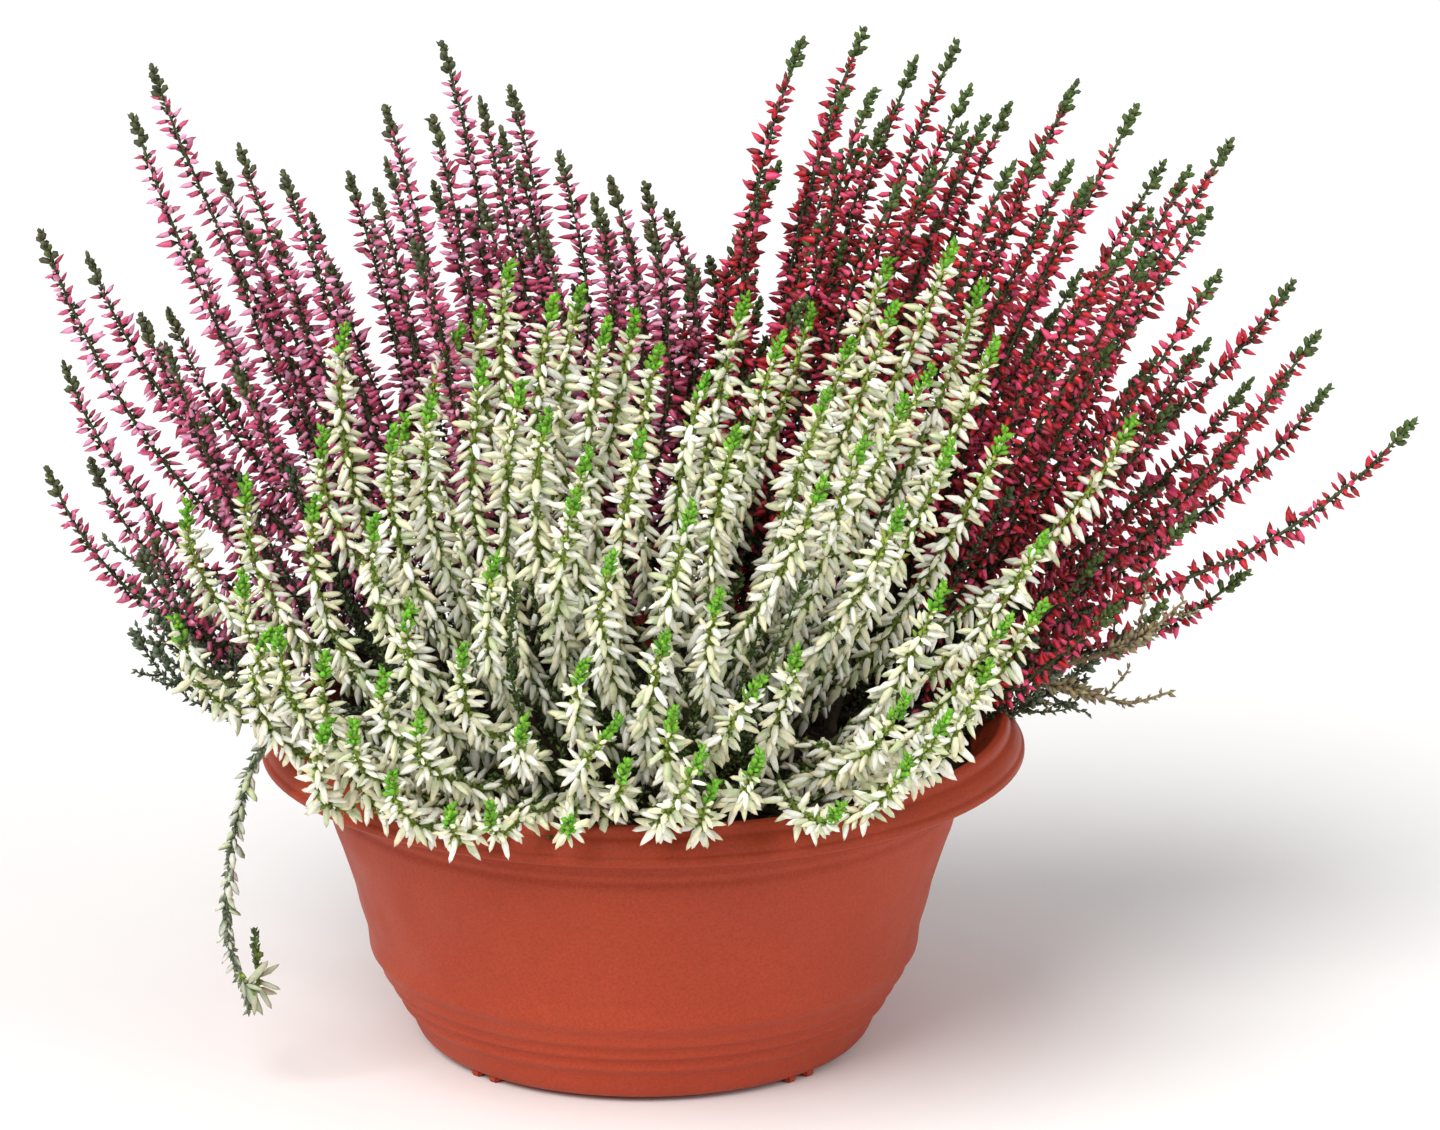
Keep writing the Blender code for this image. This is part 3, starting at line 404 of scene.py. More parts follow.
# Flowering shoots that fill the back and the middle of a dome, and those that stand where the pink
# and the red heather meet, in mm
FILL_SHOOTS = {"white": 0, "pink": 15, "red": 15}
FILL_HEIGHTS = (0.35, 0.9)
FILL_DEPTHS = (0.62, 0.86)
MEETING_TIPS = {
    "white": (),
    "pink": ((20, 72, 222), (6, 62, 238), (-12, 80, 232), (-2, 40, 214)),
    "red": ((16, 52, 222), (30, 70, 232), (28, 30, 205), (34, 88, 214)),
}

# Stems: their radii low and high
STEM_RADII = (0.95 * MM, 0.42 * MM)
MAIN_FOOT_RADII = (1.7 * MM, 0.95 * MM)
OLD_RADII, OLD_FOOT_RADII = (0.75 * MM, 0.45 * MM), (1.2 * MM, 0.75 * MM)
OLD_TWIG_RADII = (0.6 * MM, 0.4 * MM)
DRY_RADII, DRY_FOOT_RADII = (0.9 * MM, 0.4 * MM), (1.3 * MM, 0.9 * MM)
ROOT_DEPTH = 7 * MM
WAVE = 0.45 * MM

STEM_SLOT, BUD_SLOT, LEAF_SLOT = range(3)
BUD_SIDES = 4


def unit(vector):
    """Return the vector at length one."""
    return vector / np.linalg.norm(vector)


def units(vectors):
    """Return each of the vectors at length one."""
    return vectors / np.linalg.norm(vectors, axis=1)[:, None]


def blended(first, second, share):
    """Return the first value blended with a share of the second."""
    return np.array(first) * (1 - share) + np.array(second) * share


def linked(name, data):
    """Return a new object in the scene."""
    thing = bpy.data.objects.new(name, data)
    bpy.context.scene.collection.objects.link(thing)
    return thing


def soil_height(x, y):
    """Return the height of the lumpy soil at a place. It is level at the bowl's wall."""
    along, across, aslant = SOIL_WAVES
    lumps = math.sin(x / along + SOIL_PHASE) * math.cos(y / across)
    lumps += SOIL_CROSS_WAVE * math.sin((x + y) / aslant)
    inward = (SOIL_LEVEL_FROM - math.hypot(x, y)) / SOIL_LEVEL_EDGE
    return SOIL_TOP + SOIL_LUMP * lumps * min(1.0, max(0.0, inward))


def tip_in_dome(seen, plant, turn):
    """Slide a tip along its line of sight into its plant's dome, to a depth that its turn gives."""
    centre, axes = np.array(plant["dome"]) * MM
    start = (EYE - centre) / axes
    sight = np.array((seen[0] * MM, 0, seen[1] * MM)) - EYE
    ray = sight / axes
    square, middle = ray @ ray, start @ ray
    inside = max(0.0, middle * middle - square * (start @ start - 1))
    half = math.sqrt(inside) / square * np.linalg.norm(sight)
    spread = DEPTH_USED * (2 * (turn % 1.0) - 1)
    if plant["near_side"] and half > LEAST_SPREAD:
        spread = -1.0
    depth = spread * max(half, LEAST_SPREAD)
    return EYE + sight * (-middle / square) + unit(sight) * depth


def crown_of(plant):
    """Return the place that a plant grows from."""
    return np.array((*plant["crown"], SOIL_TOP / MM)) * MM


def tips_of(plant):
    """Return the places of the plant's tips."""
    tips = [tip_in_dome(seen, plant, FIRST_TURN + GOLDEN * n) for n, seen in enumerate(plant["tips"])]
    return tips + [np.array(tip) * MM for tip in plant["other_tips"]]


def shared_out(tips, crown):
    """Share the tips out among sprays: the outermost tip left takes its nearest neighbours."""
    left = list(tips)
    sprays = []
    while left:
        outermost = max(left, key=lambda tip: np.linalg.norm(tip[:2] - crown))
        left.sort(key=lambda tip: np.linalg.norm(tip - outermost))
        sprays.append(left[:SPRAY_SIZE])
        left = left[SPRAY_SIZE:]
    return sprays


def place_roots(sprays, fixed):
    """Stand each root near its plant's crown, towards its tips, with room between all roots."""
    roots = []
    for spray in sprays:
        crown = crown_of(PLANTS[spray["plant"]])
        lean, aside = lean_of(np.mean(spray["tips"], axis=0) - crown)
        roots.append((crown + aside * ROOT_REACH * math.sin(lean))[:2])
    for _ in range(ROOT_ROUNDS):
        for one in range(len(roots)):
            apart = roots[one] - np.array(roots + fixed)
            distance = np.hypot(apart[:, 0], apart[:, 1])
            near = (distance < ROOT_SPACING) & (distance > 0)
            push = (ROOT_SPACING - distance[near]) / distance[near]
            roots[one] = roots[one] + ROOT_PUSH * (apart[near] * push[:, None]).sum(axis=0)
            roots[one] = roots[one] * min(1.0, ROOT_LIMIT / np.linalg.norm(roots[one]))
    for spray, root in zip(sprays, roots):
        x, y = np.round(root, DECIMALS)
        spray["root"] = np.array((x, y, soil_height(x, y)))


def lean_of(across):
    """Return how far a direction leans from upright, and the level direction in which it leans."""
    level = np.array((across[0], across[1], 0.0)) + NEARLY_NOTHING
    return math.atan2(np.linalg.norm(level), across[2]), unit(level)


def leaning(lean, aside):
    """Return the direction that leans so far from upright."""
    return aside * math.sin(lean) + UP * math.cos(lean)


def tip_direction(across, plant):
    """Return the way a shoot's tip points: it rights itself, but not all the way, and tilts."""
    lean, aside = lean_of(across)
    lean = plant["kept_lean"] * min(lean, RIGHTED_LEAN) + max(0.0, lean - RIGHTED_LEAN)
    return unit(leaning(lean, aside) + (*plant["tilt"], 0))


def arc(start, first, tip, last):
    """Return points of a shoot that leaves in one direction and reaches its tip in another."""
    length = np.linalg.norm(tip - start)
    handles = (start, start + first * length * ARC_START, tip - last * length * ARC_END, tip)
    t = np.linspace(0, 1, SAMPLES)[:, None]
    return sum(math.comb(3, n) * t**n * (1 - t) ** (3 - n) * handle for n, handle in enumerate(handles))


def lengths_along(points):
    """Return each point's distance along the line."""
    steps = np.linalg.norm(np.diff(points, axis=0), axis=1)
    return np.concatenate(((0.0,), np.cumsum(steps)))


def at_distance(points, distance):
    """Return the place at a distance along a line of points."""
    along = lengths_along(points)
    return np.array([np.interp(distance, along, points[:, axis]) for axis in range(3)])


def draw_lines(spray):
    """Give a spray the middle lines of its shoots: first its main stem, to its middlemost tip."""
    start = spray["root"] + UP * STEM_RISE
    middle = np.mean(spray["tips"], axis=0)
    tips = sorted(spray["tips"], key=lambda tip: np.linalg.norm(tip - middle))
    lean, aside = lean_of(tips[0] - start)
    plant = PLANTS[spray["plant"]]
    first = leaning(min(LEAN_GAIN * lean, LEAN_LIMIT), aside)
    main = arc(start, first, tips[0], tip_direction(tips[0] - start, plant))
    spray["lines"] = [main]
    for fork, tip in zip(FORK_STARTS, tips[1:]):
        leave = at_distance(main, fork)
        along = unit(at_distance(main, fork + STEM_RISE) - leave)
        aside = tip - leave
        aside = unit(aside - (aside @ along) * along)
        first = along * math.cos(FORK_SPREAD) + aside * math.sin(FORK_SPREAD)
        spray["lines"].append(arc(leave, first, tip, tip_direction(tip - leave, plant)))


def through(route):
    """Return points of a smooth line through a route that is given in mm."""
    route = np.array(route) * MM
    ends = np.vstack((2 * route[0] - route[1], route, 2 * route[-1] - route[-2]))
    points = []
    for place in np.linspace(0, len(route) - 1, SAMPLES):
        leg = min(int(place), len(route) - 2)
        t = place - leg
        a, b, c, d = ends[leg : leg + 4]
        points.append(b + 0.5 * t * (c - a + t * (2 * a - 5 * b + 4 * c - d + t * (3 * (b - c) + d - a))))
    return np.array(points)


def room_along(bare, reach):
    """Return the room that each point of a shoot's line needs round it."""
    share = np.linspace(0, 1, SAMPLES)
    room = np.full(SAMPLES, STEM_ROOM)
    room[share >= bare - BARE_MARGIN] = reach + SPARE_ROOM
    room[share > LEAFY_FROM + LEAFY_MARGIN] = min(reach, LEAF_REACH) + SPARE_ROOM
    return room


def keep_off_bowl(lines, room):
    """Return how far the points must move to clear the rim and the soil."""
    radius = np.maximum(np.hypot(lines[..., 0], lines[..., 1]), TINY)
    across, above = radius - RIM_TUBE_RADIUS, lines[..., 2] - RIM_TUBE_HEIGHT
    distance = np.maximum(np.hypot(across, above), TINY)
    short = np.maximum(0, RIM_TUBE_THICKNESS + room - distance) / distance
    low = np.maximum(0, SOIL_TOP + SOIL_ROOM + room - lines[..., 2])
    move = np.empty_like(lines)
    move[..., 0] = lines[..., 0] / radius * across * short
    move[..., 1] = lines[..., 1] / radius * across * short
    move[..., 2] = above * short + np.where(radius < RIM_TUBE_RADIUS, low, 0)
    return move


def bend_clear(sprays, rounds):
    """Bend the shoots that aren't held apart until each has the room that its flowers need."""
    lines = np.array([line for spray in sprays for line in spray["lines"]])
    owner = np.array([number for number, spray in enumerate(sprays) for _ in spray["lines"]])
    room = np.array([sprays[number]["room"] for number in owner])
    held = np.array([sprays[number]["held"] for number in owner])
    share = np.linspace(0, 1, SAMPLES)
    forked = share < FORKED_SHARE
    apart_only = ~(forked[:, None, None] | forked[None, None, :])
    free = np.clip((share - ROOTED_SHARE) / FREED_SHARE, 0, 1)[None, :, None] * ~held[:, None, None]
    drawn = lines.copy()
    for _ in range(rounds):
        push = np.zeros_like(lines)
        low, high = lines.min(axis=1) - room.max(), lines.max(axis=1) + room.max()
        for one in np.flatnonzero(~held):
            line = lines[one]
            near = np.all((low <= high[one]) & (high >= low[one]), axis=1)
            near[one] = False
            between = line[:, None, None, :] - lines[near][None]
            distance = np.sqrt((between**2).sum(axis=3))
            short = np.maximum(0, room[one][:, None, None] + room[near][None] - distance)
            short[:, owner[near] == owner[one]] *= apart_only
            push[one] = (between * (short / np.maximum(distance, TINY))[..., None]).sum(axis=(1, 2))
        step = PUSH_SHARE * push + BOWL_PUSH_SHARE * keep_off_bowl(lines, room)
        bend = (lines + step * free - drawn) * BEND_KEPT
        for _ in range(SMOOTHING_ROUNDS):
            bend[:, 1:-1] = 0.25 * bend[:, :-2] + 0.5 * bend[:, 1:-1] + 0.25 * bend[:, 2:]
        lines = drawn + bend
        carry_side_shoots(lines, owner, held)
    for number, spray in enumerate(sprays):
        spray["lines"] = list(np.round(lines[owner == number], DECIMALS))


def carry_side_shoots(lines, owner, held):
    """Let the side shoots follow the forks of their main stem."""
    for number in range(owner[-1] + 1):
        main, *sides = np.flatnonzero(owner == number)
        if held[main]:
            continue
        for side, fork in zip(sides, FORK_STARTS):
            shift = at_distance(lines[main], fork) - lines[side][0]
            lines[side] += shift * np.linspace(1, 0, SAMPLES)[:, None] ** 2


def plan_sprays():
    """Share out the plants' tips among sprays, each in a node of its own."""
    sprays = []
    for name, plant in PLANTS.items():
        groups = shared_out(tips_of(plant), np.array(plant["crown"]) * MM)
        for number, tips in enumerate(groups, 1):
            room = room_along(plant["bare"], plant["reach"])
            label = "%s_spray_%02d" % (name, number)
            sprays.append({"name": label, "plant": name, "tips": tips, "room": room, "held": False})
    return sprays


def plan_old_growth():
    """Plan the old hanging shoot and the dry twigs, whose lines are held as chosen."""
    planned = []
    for reach, routes in ((OLD_SHOOT_REACH, (OLD_SHOOT_ROUTE,)), (TWIG_REACH, TWIG_ROUTES)):
        x, y = np.array(routes[0][0][:2]) * MM
        root = np.array((x, y, soil_height(x, y)))
        lines = [through(route) for route in routes]
        room = room_along(OLD_GROWTH_BARE, reach)
        planned.append({"root": root, "lines": lines, "room": room, "held": True})
    return planned


def filling_tips(name):
    """Return the tips of the shoots that fill a plant's dome and its middle."""
    count, (centre, axes) = FILL_SHOOTS[name], np.array(PLANTS[name]["dome"]) * MM
    tips = [np.array(tip) * MM for tip in MEETING_TIPS[name]]
    for number in range(count):
        turn = math.pi * ((FIRST_TURN + GOLDEN * number) % 1.0)
        height = np.interp(number, (0, count - 1), FILL_HEIGHTS)
        depth = CHANCE.uniform(*FILL_DEPTHS)
        aside = math.sqrt(1 - height * height)
        tips.append(centre + axes * depth * (aside * math.cos(turn), aside * math.sin(turn), height))
    return tips


def plan_finer_shoots():
    """Plan the single shoots that stand between and behind the sprays."""
    planned = []
    for name, plant in PLANTS.items():
        crown = crown_of(plant)
        room = room_along(plant["bare"], plant["reach"]) * FINE_ROOM
        between = [
            tip_in_dome(seen, plant, FIRST_TURN / 2 + GOLDEN * number) + FINE_INSET
            for number, seen in enumerate(plant["more_tips"])
        ]
        for number, tip in enumerate(between + filling_tips(name)):
            lean, aside = lean_of(tip - crown)
            swing = CHANCE.normal(0, ROOT_SCATTER, 2) * ROOT_REACH
            x, y = (crown + aside * ROOT_REACH * math.sin(lean))[:2] + swing
            inward = min(1.0, ROOT_LIMIT / math.hypot(x, y))
            root = np.array((x * inward, y * inward, soil_height(x * inward, y * inward)))
            shoot = {"plant": name, "tips": [tip], "root": root, "room": room, "held": False}
            shoot["place"] = "between" if number < len(between) else "behind"
            draw_lines(shoot)
            planned.append(shoot)
    return planned


class Heap:
    """Gathers the points, triangles, tints and material slots of one piece."""

    def __init__(self):
        self.points, self.faces, self.tints, self.slots = [], [], [], []
        self.count = 0

    def add(self, points, faces, tints, slot):
        """Add points with their tints, and the triangles between them."""
        self.points.append(points)
        self.faces.append(faces + self.count)
        self.tints.append(tints)
        self.slots.append(np.full(len(faces), slot))
        self.count += len(points)

    def build(self, name, materials):
        """Make the piece and return it."""
        points, faces = np.concatenate(self.points), np.concatenate(self.faces)
        mesh = bpy.data.meshes.new(name)
        mesh.vertices.add(len(points))
        mesh.vertices.foreach_set("co", points.ravel())
        mesh.loops.add(faces.size)
        mesh.loops.foreach_set("vertex_index", faces.ravel())
        mesh.polygons.add(len(faces))
        mesh.polygons.foreach_set("loop_start", np.arange(len(faces)) * 3)
        mesh.polygons.foreach_set("material_index", np.concatenate(self.slots))
        mesh.update(calc_edges=True)
        mesh.shade_smooth()
        tint = mesh.attributes.new("tint", "FLOAT_COLOR", "POINT")
        colours = np.ones((len(points), 4))
        colours[:, :3] = np.concatenate(self.tints)
        tint.data.foreach_set("color", colours.ravel())
        for one in materials:
            mesh.materials.append(one)
        return linked(name, mesh)


def lathe_form(sides, rings):
    """Return a small closed form round +Z: its points and its triangles.

    rings are (place along, half width). Each is turned half a side from the one below.
    """
    points = []
    for number, (along, half) in enumerate(rings):
        angles = (np.arange(sides) + number / 2) * 2 * math.pi / sides
        points += [(half * math.cos(angle), half * math.sin(angle), along) for angle in angles]
    faces = []
    for ring in range(len(rings) - 1):
        for side in range(sides):
            a, b = ring * sides + side, ring * sides + (side + 1) % sides
            faces += [(a, b, a + sides), (b, b + sides, a + sides)]
    low, high = len(points), len(points) + 1
    points += [(0, 0, 0), (0, 0, 1)]
    last = (len(rings) - 1) * sides
    faces += [(low, (side + 1) % sides, side) for side in range(sides)]
    faces += [(high, last + side, last + (side + 1) % sides) for side in range(sides)]
    return np.array(points, float), np.array(faces)


def bud_form(rings):
    """Return a bud with its cup and stalk, a lathe form whose cup's edge has its own points.

    The first ring is the cup's edge. The cup's points come last, after those of the bud.
    """
    points, faces = lathe_form(BUD_SIDES, rings)
    foot = len(rings) * BUD_SIDES
    points = np.concatenate((points, points[:BUD_SIDES], points[foot : foot + 1]))
    cup = len(points) - BUD_SIDES - 1
    is_cup = (faces == foot).any(axis=1)
    faces[is_cup] = np.where(faces[is_cup] == foot, cup + BUD_SIDES, faces[is_cup] + cup)
    return points, faces


BUD_FORMS = {
    "long": bud_form(((0.2, 0.66), (0.5, 1.0), (0.84, 0.60))),
    "short": bud_form(((0.34, 0.92), (0.68, 0.78))),
}
LEAF_FORM = lathe_form(3, ((0.45, 1.0),))
KNOB_FORM = lathe_form(4, ((0.22, 0.8), (0.74, 1.0)))
CRUMB_FORM = lathe_form(4, ((0.2, 0.8), (0.65, 1.0)))


def square_to(directions, turns):
    """Return two directions square to each of the directions, turned round it by its turn."""
    helper = np.where(np.abs(directions[:, 2:3]) < NEARLY_UPRIGHT, UP, np.array((1.0, 0, 0)))
    first = units(np.cross(directions, helper))
    second = np.cross(directions, first)
    cos, sin = np.cos(turns)[:, None], np.sin(turns)[:, None]
    return first * cos + second * sin, second * cos - first * sin


def strew(heap, form, origins, directions, lengths, halves, tints, slot, sag=0.0):
    """Add a copy of the form at each origin, along its direction."""
    shape, faces = form
    turns = CHANCE.uniform(0, 2 * math.pi, len(origins))
    first, second = square_to(directions, turns)
    x, y, z = (shape[None, :, axis, None] for axis in range(3))
    points = origins[:, None] + z * (lengths[:, None] * directions)[:, None]
    points = points + (x * first[:, None] + y * second[:, None]) * halves[:, None, None]
    points = points - UP * sag * z**2 * lengths[:, None, None]
    if tints.ndim == 2:
        tints = np.repeat(tints[:, None], len(shape), axis=1)
    shift = np.arange(len(origins))[:, None, None] * len(shape)
    heap.add(points.reshape(-1, 3), (faces[None] + shift).reshape(-1, 3), tints.reshape(-1, 3), slot)


def frames_along(points):
    """Return the direction of a line at each point, and two directions square to it."""
    tangents = units(np.gradient(points, axis=0))
    side = unit(np.cross(tangents[0], FIRST_SIDE))
    sides = []
    for tangent in tangents:
        side = unit(side - (side @ tangent) * tangent)
        sides.append(side)
    sides = np.array(sides)
    return tangents, sides, np.cross(tangents, sides)


class Rail:
    """A line with directions along it, on which small things are placed by distance."""

    def __init__(self, line):
        self.line = line
        self.lengths = lengths_along(line)
        self.total = self.lengths[-1]
        self.frames = frames_along(line)

    def read(self, values, distances):
        """Return the values at distances along the line."""
        return np.stack([np.interp(distances, self.lengths, values[:, axis]) for axis in range(3)], axis=1)

    def place(self, distances, turns, rises):
        """Return places on the line and directions that turn round it and rise along it."""
        tangent, side, other = (self.read(values, distances) for values in self.frames)
        outward = side * np.cos(turns)[:, None] + other * np.sin(turns)[:, None]
        directions = outward * np.cos(rises)[:, None] + tangent * np.sin(rises)[:, None]
        return self.read(self.line, distances), units(directions)


def add_tube(heap, line, radii, colours, sides=5):
    """Add a round stem along a line that ends in a point. colours are those of its two ends."""
    tangents, first, second = frames_along(line)
    angles = np.arange(sides) * 2 * math.pi / sides
    ring = first[:, None] * np.cos(angles)[:, None] + second[:, None] * np.sin(angles)[:, None]
    radius = np.linspace(*radii, len(line))[:, None, None]
    points = (line[:, None] + ring * radius).reshape(-1, 3)
    points = np.concatenate((points, line[-1:] + tangents[-1:] * radii[1]))
    low, side = np.meshgrid(np.arange(len(line) - 1) * sides, np.arange(sides), indexing="ij")
    a, b = (low + side).ravel(), (low + (side + 1) % sides).ravel()
    faces = np.concatenate((np.stack((a, b, b + sides), 1), np.stack((a, b + sides, a + sides), 1)))
    last = (len(line) - 1) * sides
    end = [(last + n, last + (n + 1) % sides, len(points) - 1) for n in range(sides)]
    share = np.append(np.repeat(np.linspace(0, 1, len(line)), sides), 1.0)[:, None]
    heap.add(points, np.concatenate((faces, end)), blended(*colours, share), STEM_SLOT)


def add_foot(heap, root, line, radii, colour, sides=5):
    """Add the thick foot of a stem, from under the soil along the start of its line."""
    add_tube(heap, np.vstack((root - UP * ROOT_DEPTH, root, line)), radii, (colour, colour), sides)


def varied(colour, count, amount=0.12):
    """Return the colour, or colours, for count things, each a little lighter or darker."""
    shade = CHANCE.normal(1, amount, (count, 1)) * CHANCE.normal(1, amount / 3, (count, 3))
    return np.clip(np.array(colour) * np.clip(shade, 0.5, 1.5), 0, 1)


def add_buds(heap, rail, look, start, end):
    """Add buds with their stalks and cups all round a shoot between two distances."""
    count = max(2, int((end - start) / look["spacing"]))
    number = np.arange(count)
    if look["paired"]:
        steps = number // 2 * 2 + 1 + CHANCE.uniform(-PAIR_STEP_SCATTER, PAIR_STEP_SCATTER, count)
        turns = number % 2 * math.pi + number // 2 * math.pi / 2 + number * PAIR_TWIST
    else:
        steps = number + 0.5 + CHANCE.uniform(-STEP_SCATTER, STEP_SCATTER, count)
        turns = number * GOLDEN_ANGLE
    share = np.clip(steps / count, 0, 1) ** look["crowding"]
    turns = turns + CHANCE.normal(0, look["scatter"], count) + CHANCE.uniform(0, ANY_TURN)
    low, high = look["rise"]
    rises = low + (high - low) * share ** look["lift"] + CHANCE.normal(0, look["scatter"], count)
    origins, directions = rail.place(start + (end - start) * share, turns, rises)
    directions = units(directions - UP * look["nod"] * (1 - share)[:, None])
    topmost = np.clip((share - SMALL_FROM) / SMALL_SPAN, 0, 1)
    size = CHANCE.normal(1, BUD_SIZE_SCATTER, count) * (1 - SMALLER_BY * topmost)
    halves = look["bud_half"] * size * CHANCE.normal(1, BUD_WIDTH_SCATTER, count)
    form = BUD_FORMS[look["bud"]]
    along = form[0][:, 2]
    petals = np.array(look["petals"])[CHANCE.integers(0, len(look["petals"]), count)]
    edges = np.array(look["petal_edges"])[CHANCE.integers(0, len(look["petal_edges"]), count)]
    column = (np.arange(len(along)) % BUD_SIDES < BUD_SIDES / 2).astype(float)
    tints = blended(petals[:, None], edges[:, None], column[:, None])
    pointed = (np.clip((along - POINT_FROM) / POINT_SPAN, 0, 1) * POINT_TINT)[:, None]
    tints = blended(tints, look["bud_point"], pointed * CHANCE.uniform(0, 1, (count, 1, 1)) ** 2)
    tints = tints * CHANCE.normal(1, BUD_SHADE_SCATTER, (count, 1, 1))
    # Partly painted shade: buds low on a shoot, deep in the plant, are darkened.
    tints = tints * np.interp(share, (0, SHADED_TO), (SHADE, 1))[:, None, None]
    tints[:, -BUD_SIDES - 1 :] = varied(look["cup"], count)[:, None]
    tints = np.clip(tints, 0, 1)
    strew(heap, form, origins, directions, look["bud_length"] * size, halves, tints, BUD_SLOT, look["sag"])


def add_leaves(heap, rail, start, end, colours, spacing, length):
    """Add small scale leaves that hug a stem between two distances. colours are those at its ends."""
    count = max(1, int((end - start) / spacing))
    distances = np.linspace(start, end, count) + CHANCE.uniform(-0.5, 0.5, count) * spacing
    turns = np.arange(count) * LEAF_TURN + CHANCE.normal(0, LEAF_TURN_SCATTER, count)
    rises = CHANCE.normal(LEAF_RISE, LEAF_RISE_SCATTER, count)
    origins, directions = rail.place(np.clip(distances, 0, rail.total), turns, rises)
    lengths = length * CHANCE.uniform(*LEAF_SIZES, count)
    tints = varied(blended(*colours, np.linspace(0, 1, count)[:, None]), count, LEAF_SHADES)
    strew(heap, LEAF_FORM, origins, directions, lengths, lengths * LEAF_WIDTH, tints, LEAF_SLOT)


def add_tip(heap, rail, look):
    """Add the knobby leafy tip of a shoot: short blunt leaves in pairs, and one at the point."""
    number = np.arange(look["tip_leaves"])
    count = len(number)
    share = np.linspace(0, 1, count)
    distances = rail.total - look["tip_length"] * (1 - share)
    turns = number % 2 * math.pi + number // 2 * math.pi / 2 + CHANCE.normal(0, TIP_TURN_SCATTER, count)
    rises = np.radians(TIP_RISE + TIP_RISE_GAIN * share) + CHANCE.normal(0, TIP_RISE_SCATTER, count)
    rises[-1] = math.pi / 2
    origins, directions = rail.place(distances, turns, rises)
    lengths = look["tip_leaf"] * CHANCE.uniform(*TIP_LENGTHS, count) * (1 - TIP_SHORTER_BY * share)
    halves = look["tip_half"] * CHANCE.uniform(*TIP_WIDTHS, count) * (1 - TIP_NARROWER_BY * share)
    tints = varied(look["tip"], count, TIP_SHADES)
    strew(heap, KNOB_FORM, origins, directions, lengths, halves, tints, LEAF_SLOT)


def wavy(line):
    """Return the line with a slight wave, which dies out at its ends."""
    share = np.linspace(0, 1, len(line))[:, None]
    waves = 0
    for _ in range(WAVES):
        wave = np.sin(share * CHANCE.uniform(*WAVE_TURNS) + CHANCE.uniform(0, ANY_TURN))
        waves = waves + wave * CHANCE.normal(0, WAVE_SPREAD, 3)
    return line + waves * WAVE * np.sin(share * math.pi)


def add_branchlets(heap, rail, look, count, start, end):
    """Add short leafy branchlets without flowers to a shoot between two distances."""
    distances = CHANCE.uniform(start, end, count)
    turns = CHANCE.uniform(0, 2 * math.pi, count)
    rises = CHANCE.normal(BRANCHLET_RISE, BRANCHLET_RISE_SCATTER, count)
    share = np.linspace(0, 1, BRANCHLET_POINTS)[:, None]
    for origin, direction in zip(*rail.place(distances, turns, rises)):
        length = CHANCE.uniform(*BRANCHLET_LENGTHS) * MM
        line = origin + direction * length * share + UP * length * BRANCHLET_BEND * share**2
        add_leafy_shoot(heap, line, look, BRANCHLET_SPACING)


def add_leafy_shoot(heap, line, look, spacing):
    """Add a shoot that bears leaves and no flowers."""
    add_tube(heap, line, LEAFY_RADII, (look["stem_low"], look["leaf"][0]), sides=3)
    rail = Rail(line)
    add_leaves(heap, rail, 1 * MM, rail.total, look["leaf"][:1] * 2, spacing, LEAFY_LEAF)


def add_inner_shoots(heap, name):
    """Fill a plant's middle with leafy shoots, and stand some at chosen tips."""
    crown = crown_of(PLANTS[name])
    turns = CHANCE.uniform(0, 2 * math.pi, INNER_SHOOTS)
    leans = CHANCE.uniform(*INNER_LEANS, INNER_SHOOTS)
    lengths = CHANCE.uniform(*INNER_LENGTHS, INNER_SHOOTS)
    aside = np.stack((np.cos(turns), np.sin(turns), np.zeros(INNER_SHOOTS)), axis=1)
    starts = crown + aside * CHANCE.uniform(*INNER_STARTS, (INNER_SHOOTS, 1)) * ROOT_REACH
    tips = starts + (aside * np.sin(leans)[:, None] + UP * np.cos(leans)[:, None]) * lengths[:, None]
    tips = list(tips) + [np.array(tip) * MM for tip in LEAFY_TIPS[name]]
    for number, tip in enumerate(tips):
        chosen = number >= INNER_SHOOTS
        look = dict(LOOKS[name], leaf=CHOSEN_LEAVES) if chosen else LOOKS[name]
        lean, aside = lean_of(tip - crown)
        start = crown + aside * ROOT_REACH * math.sin(lean) - UP * INNER_DEPTH
        last = tip_direction(tip - start, PLANTS[name])
        line = wavy(arc(start, leaning(lean, aside), tip, last))[::3]
        add_leafy_shoot(heap, line, look, LEAFY_SPACING)
        rail = Rail(line)
        add_tip(heap, rail, dict(look, tip=look["leaf"][0], **INNER_TIP))
        if chosen:
            add_branchlets(heap, rail, look, BUSHY, BUSHY_FROM * rail.total, rail.total - BUSHY_END)


def dress_shoot(heap, line, look, bare, root=None):
    """Add one fine shoot along its line. A root gives it a thicker stem that stands in the soil."""
    line = wavy(line)
    rail = Rail(line)
    flowers = bare * rail.total
    leafy = rail.total - look["tip_length"] * CHANCE.uniform(*look["stretch"])
    low, tip = look["leaf"][:1] * 2, (look["tip"],) * 2
    add_tube(heap, line[::2], STEM_RADII, (look["stem_low"], look["stem_top"]), sides=4)
    add_buds(heap, rail, look, flowers, leafy + TIP_OVERLAP * look["tip_length"])
    add_leaves(heap, rail, flowers, leafy, look["leaf"], look["leaf_spacing"], look["leaf_length"])
    add_leaves(heap, rail, leafy, rail.total, tip, LEAFY_END_SPACING, look["leaf_length"])
    add_leaves(heap, rail, 2 * MM, flowers, low, BARE_STEM_LEAF_SPACING, BARE_STEM_LEAF)
    add_tip(heap, rail, look)
    if root is not None:
        add_foot(heap, root, line[:6], MAIN_FOOT_RADII, look["stem_low"], sides=6)
        add_branchlets(heap, rail, look, BRANCHLETS, BRANCHLETS_FROM, BRANCHLETS_TO * flowers)


